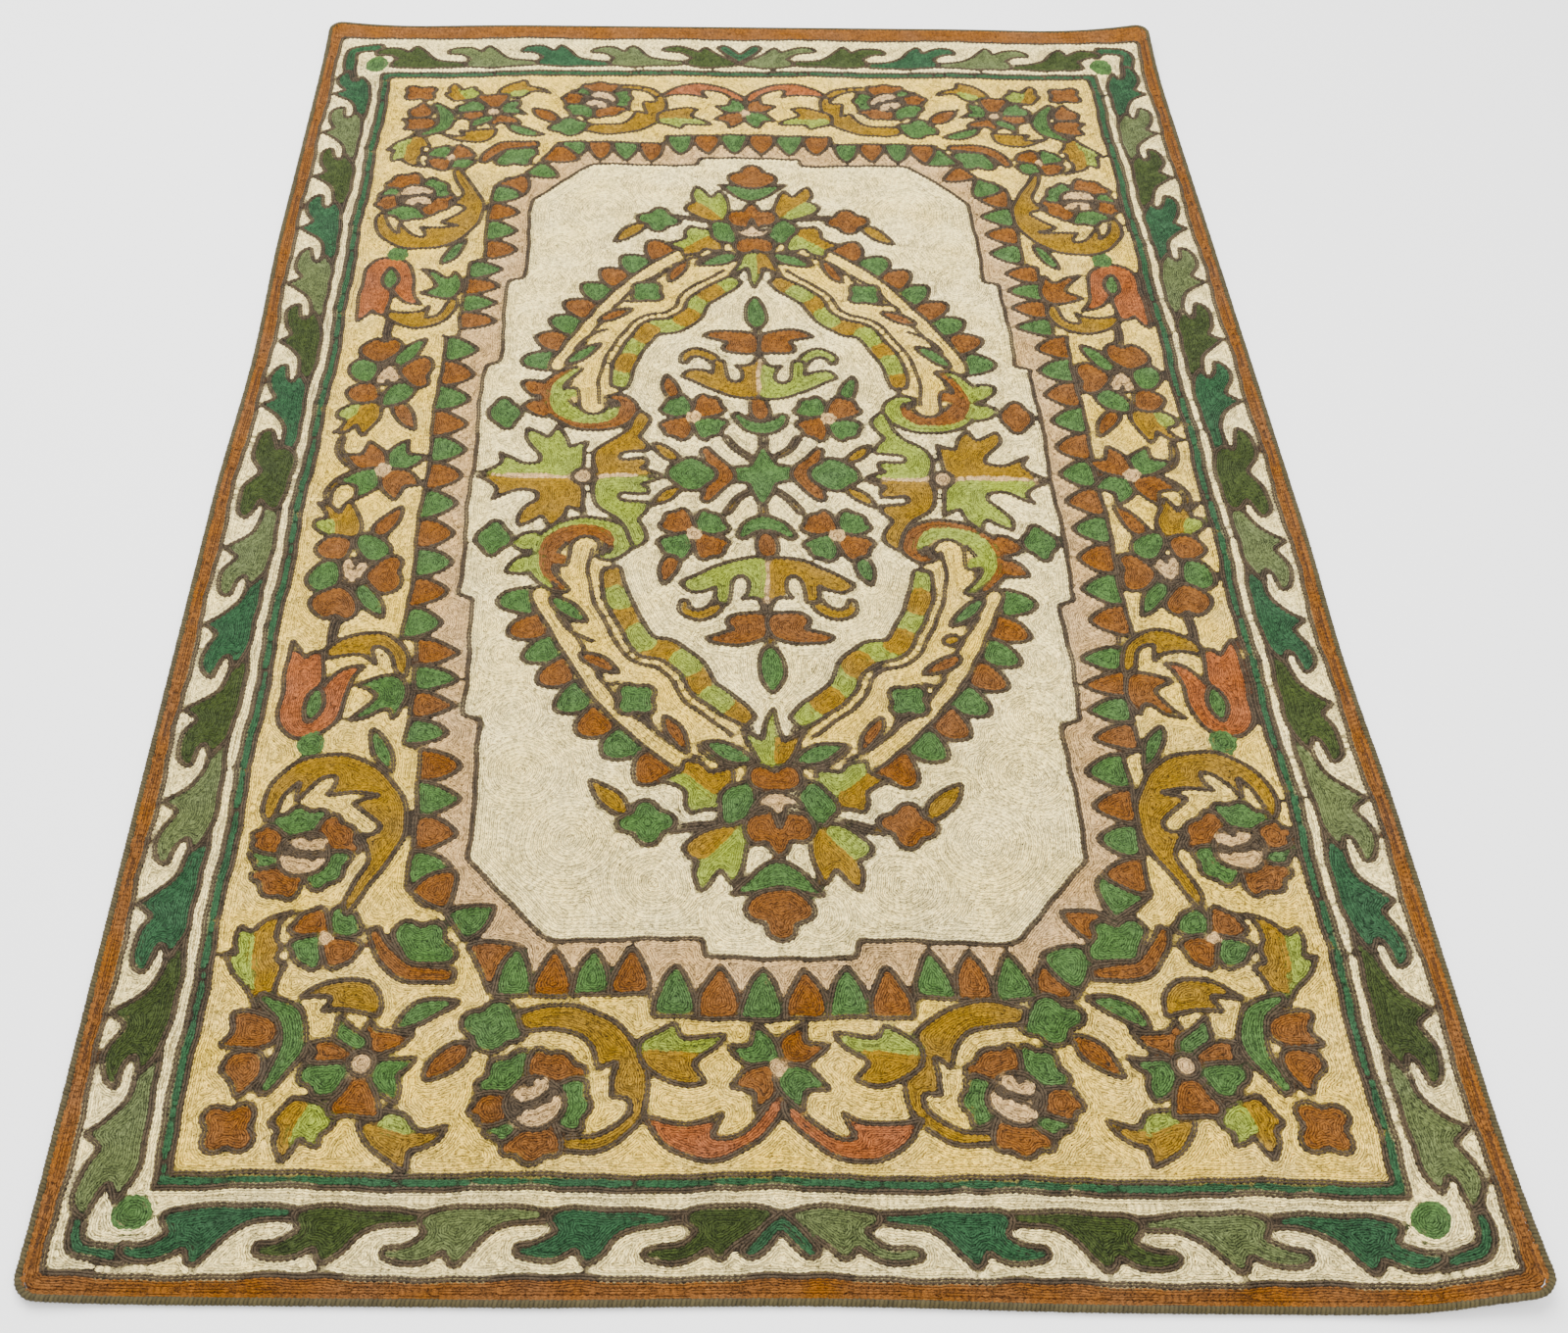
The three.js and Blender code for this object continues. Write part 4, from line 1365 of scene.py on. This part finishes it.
def chain_stitches(name, yarn, starts, ends, random):
    """All the stitches of one yarn: the two strands of a loop, which mirror each other, placed
    between each start and end, each with a width, a height and a lean of its own. The
    grey-brown yarn of the outlines is the thickest."""
    along = ends - starts
    across = np.stack([-along[:, 1], along[:, 0]], axis=1)
    across /= np.linalg.norm(across, axis=1, keepdims=True)
    count = len(starts)
    full = OUTLINE_WIDTH if yarn == "bark" else STITCH_WIDTH
    width = full * random.uniform(1 - WIDTH_SPREAD, 1 + WIDTH_SPREAD, (count, 1))
    height = STITCH_HEIGHT * random.uniform(1 - HEIGHT_SPREAD, 1 + HEIGHT_SPREAD, (count, 1))
    sway = random.uniform(-SWAY, SWAY, (count, 1))
    points, strands = [], []
    own = np.broadcast_to(random.random((count, 1)), (count, len(STRAND)))
    length = np.linalg.norm(along, axis=1)[:, None]
    for side in (1, -1):
        sideways = (side * STRAND[:, 1] * width)[..., None] * across[:, None]
        sideways += (sway * STRAND[:, 2])[..., None] * across[:, None]
        flat = starts[:, None] + STRAND[:, :1] * along[:, None] + sideways
        up = CANVAS_TOP + STRAND[:, 2] * height
        points.append(np.dstack([flat, up]))
        strands.append(np.dstack([STRAND[:, 0] * length, side * STRAND[:, 1] * width, own]))
    points = np.concatenate(points, axis=1).reshape(-1, 3)
    strands = np.concatenate(strands, axis=1).reshape(-1, 3)
    loop = np.vstack([STRAND_TRIANGLES, STRAND_TRIANGLES[:, ::-1] + len(STRAND)])
    triangles = (np.arange(count)[:, None, None] * 2 * len(STRAND) + loop).reshape(-1, 3)
    piece = new_piece(name, laid(points[:, :2], points[:, 2]), triangles, YARN_MATERIALS[yarn])
    set_strands(piece, strands)
    lay_flat_map(piece)
    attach(piece, "root")
    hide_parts("worked_cloth")
    return piece


YARN_MATERIALS = {yarn: wool(yarn + " wool", colour) for yarn, colour in YARN_COLOURS.items()}
starts = np.vstack([row_starts, fill_starts, ridge_starts])
ends = np.vstack([row_ends, fill_ends, ridge_ends])
middles = 0.5 * (starts + ends)
stitch_yarn = map_value(yarn_map, middles)
stitch_yarn[:len(row_starts)] = YARNS.index("bark")
in_border = (np.abs(middles) > GROUND_HALF).any(axis=1)
for code, yarn in enumerate(YARNS):
    mine = stitch_yarn == code
    parts = [("", mine)]
    if yarn == "ivory":
        parts = [("_border", mine & in_border), ("_field", mine & ~in_border)]
    for part, chosen in parts:
        chain_stitches("stitches_" + yarn + part, yarn, starts[chosen], ends[chosen], random)

# The overcast edge: thick grey-brown wool wound over the canvas's edge, turn beside turn, right
# round the rug. Each side of the rug is one piece, from the middle of one corner to the next.
EDGE_WIDTH, EDGE_HEIGHT = 5.5, 5.4
EDGE_CORNER = 17.0                 # the radius of the rug's corners
TURN_WIDTH = 2.7                   # from one turn to the next
TURN_THICKNESS = 0.55              # how far a turn's ridge stands over the dips beside it
TURN_LEAN = 1.1                    # how far along the edge a turn leans, each way
TURN_REACH = 0.56                  # of TURN_WIDTH, each way from its ridge: it overlaps the next
TURN_SIZES = (0.93, 1.07)          # the least and the most of its full size
TURN_SHIFT = 0.15                  # how far along the edge it may be from its even place
LOWEST = 0.05                      # the least height of the yarn over the floor
SHADE_ACROSS = 0.6                 # so that a turn gets painted shade from its ridge to its dips as a strand does
ARCH = (196, -40)                  # a turn's arch, in degrees round the edge's oval
STATIONS = 7
EDGE_YARN = (74, 66, 42)


def edge_line():
    """The closed line that the overcasting follows, with the way out at each of its points: the
    rug's outline less half the edge's width, from the middle of the front right corner round."""
    radius = EDGE_CORNER - EDGE_WIDTH / 2
    lines, outs = [], []
    for start, end, way in ((-45, 0, (1, -1)), (0, 90, (1, 1)), (90, 180, (-1, 1)), (180, 270, (-1, -1)),
                            (270, 315, (1, -1))):
        angle = np.radians(np.arange(start, end + 1, 5))
        out = np.stack([np.cos(angle), np.sin(angle)], axis=1)
        lines.append((RUG_HALF - EDGE_CORNER) * way + radius * out)
        outs.append(out)
    return np.vstack(lines), np.vstack(outs)


def overcast_edges(random):
    """Turns of yarn along the edge line. A turn is an arch over the edge: stations round an oval
    of the edge's width and height, each with a low, a high and a low point across the yarn."""
    line, out = edge_line()
    far = distance_along(line)
    count = int(round(far[-1] / TURN_WIDTH))
    count -= count % 4
    middle = (np.arange(count) + 0.5) * far[-1] / count
    station = np.radians(np.linspace(*ARCH, STATIONS))
    lean = np.linspace(TURN_LEAN, -TURN_LEAN, STATIONS)
    across = np.array([-TURN_REACH, 0.0, TURN_REACH]) * TURN_WIDTH
    swell = np.array([-TURN_THICKNESS, 0.0, -TURN_THICKNESS])
    size = random.uniform(*TURN_SIZES, (count, 1, 1))
    shift = random.uniform(-TURN_SHIFT, TURN_SHIFT, (count, 1, 1))
    at = np.mod(middle[:, None, None] + lean[:, None] + across + shift, far[-1])
    base, way = at_distance(at, far, line), at_distance(at, far, out)
    outward = size * (0.5 * EDGE_WIDTH + swell) * np.cos(station)[:, None]
    up = 0.5 * EDGE_HEIGHT * (1 + np.sin(station)[:, None]) + swell * np.sin(station)[:, None] * size
    flat = base + way * outward[..., None]
    up = np.maximum(np.broadcast_to(up, outward.shape), LOWEST)
    own = np.broadcast_to(random.random((count, 1, 1)), outward.shape)
    strands = np.stack([np.broadcast_to(station[:, None] * TURN_WIDTH, outward.shape),
                        np.broadcast_to(STRAND_RIDGE + SHADE_ACROSS * across, outward.shape), own], axis=-1)
    turn = grid_triangles(np.arange(3 * STATIONS).reshape(STATIONS, 3))
    material = wool("overcasting wool", EDGE_YARN, spread=0.3, fleck=0.9)
    quarter = side_of_turn(middle, far, line)
    for number, side in enumerate(("right", "back", "left", "front")):
        mine = quarter == number
        points = laid(flat[mine].reshape(-1, 2), up[mine].ravel())
        triangles = (np.arange(mine.sum())[:, None, None] * 3 * STATIONS + turn).reshape(-1, 3)
        piece = new_piece("overcasting_" + side, points, triangles[:, ::-1], material)
        set_strands(piece, strands[mine])
        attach(piece, "root")
        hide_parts("overcast_edge_" + side)


def side_of_turn(middle, far, line):
    """Which side of the rug a turn is on: 0 right, 1 back, 2 left, 3 front. The line starts at a
    corner's middle, so the sides change at the other three corners' middles."""
    corners = [far[np.argmax((line * way).sum(axis=1))] for way in ((1, 1), (-1, 1), (-1, -1))]
    return np.searchsorted(corners, middle)


overcast_edges(random)

# The floor and the light, which are not part of the rug: a plain pale floor, two large soft lamps
# and a pale room round them.
FLOOR_CORNERS = ((-6, -5, 0), (6, -5, 0), (6, 9, 0), (-6, 9, 0))
FLOOR_COLOUR = (0.95, 0.95, 0.945, 1)
ROOM_LIGHT = 1.2
floor_mesh = bpy.data.meshes.new("floor")
floor_mesh.from_pydata(FLOOR_CORNERS, [], [(0, 1, 2, 3)])
floor_material = bpy.data.materials.new("pale floor")
floor_material.use_nodes = True
floor_shader = floor_material.node_tree.nodes["Principled BSDF"]
floor_shader.inputs["Base Color"].default_value = FLOOR_COLOUR
floor_shader.inputs["Roughness"].default_value = 0.75
floor_mesh.materials.append(floor_material)
floor = bpy.data.objects.new("floor", floor_mesh)
bpy.context.collection.objects.link(floor)


def soft_light(name, place, size, power):
    """A square area light at a place, turned to face the middle of the rug."""
    data = bpy.data.lights.new(name, "AREA")
    data.size, data.energy = size, power
    light = bpy.data.objects.new(name, data)
    light.location = place
    x, y, z = place
    light.rotation_euler = (math.atan2(math.hypot(x, y), z), 0, math.atan2(y, x) + math.pi / 2)
    bpy.context.collection.objects.link(light)


soft_light("overhead", (-0.6, 0.9, 2.6), size=2.4, power=175)
soft_light("front fill", (0.9, -1.6, 2.4), size=2.0, power=68)
world = bpy.data.worlds.new("studio")
world.use_nodes = True
room = world.node_tree.nodes["Background"]
room.inputs["Color"].default_value = (1, 1, 1, 1)
room.inputs["Strength"].default_value = ROOM_LIGHT
bpy.context.scene.world = world
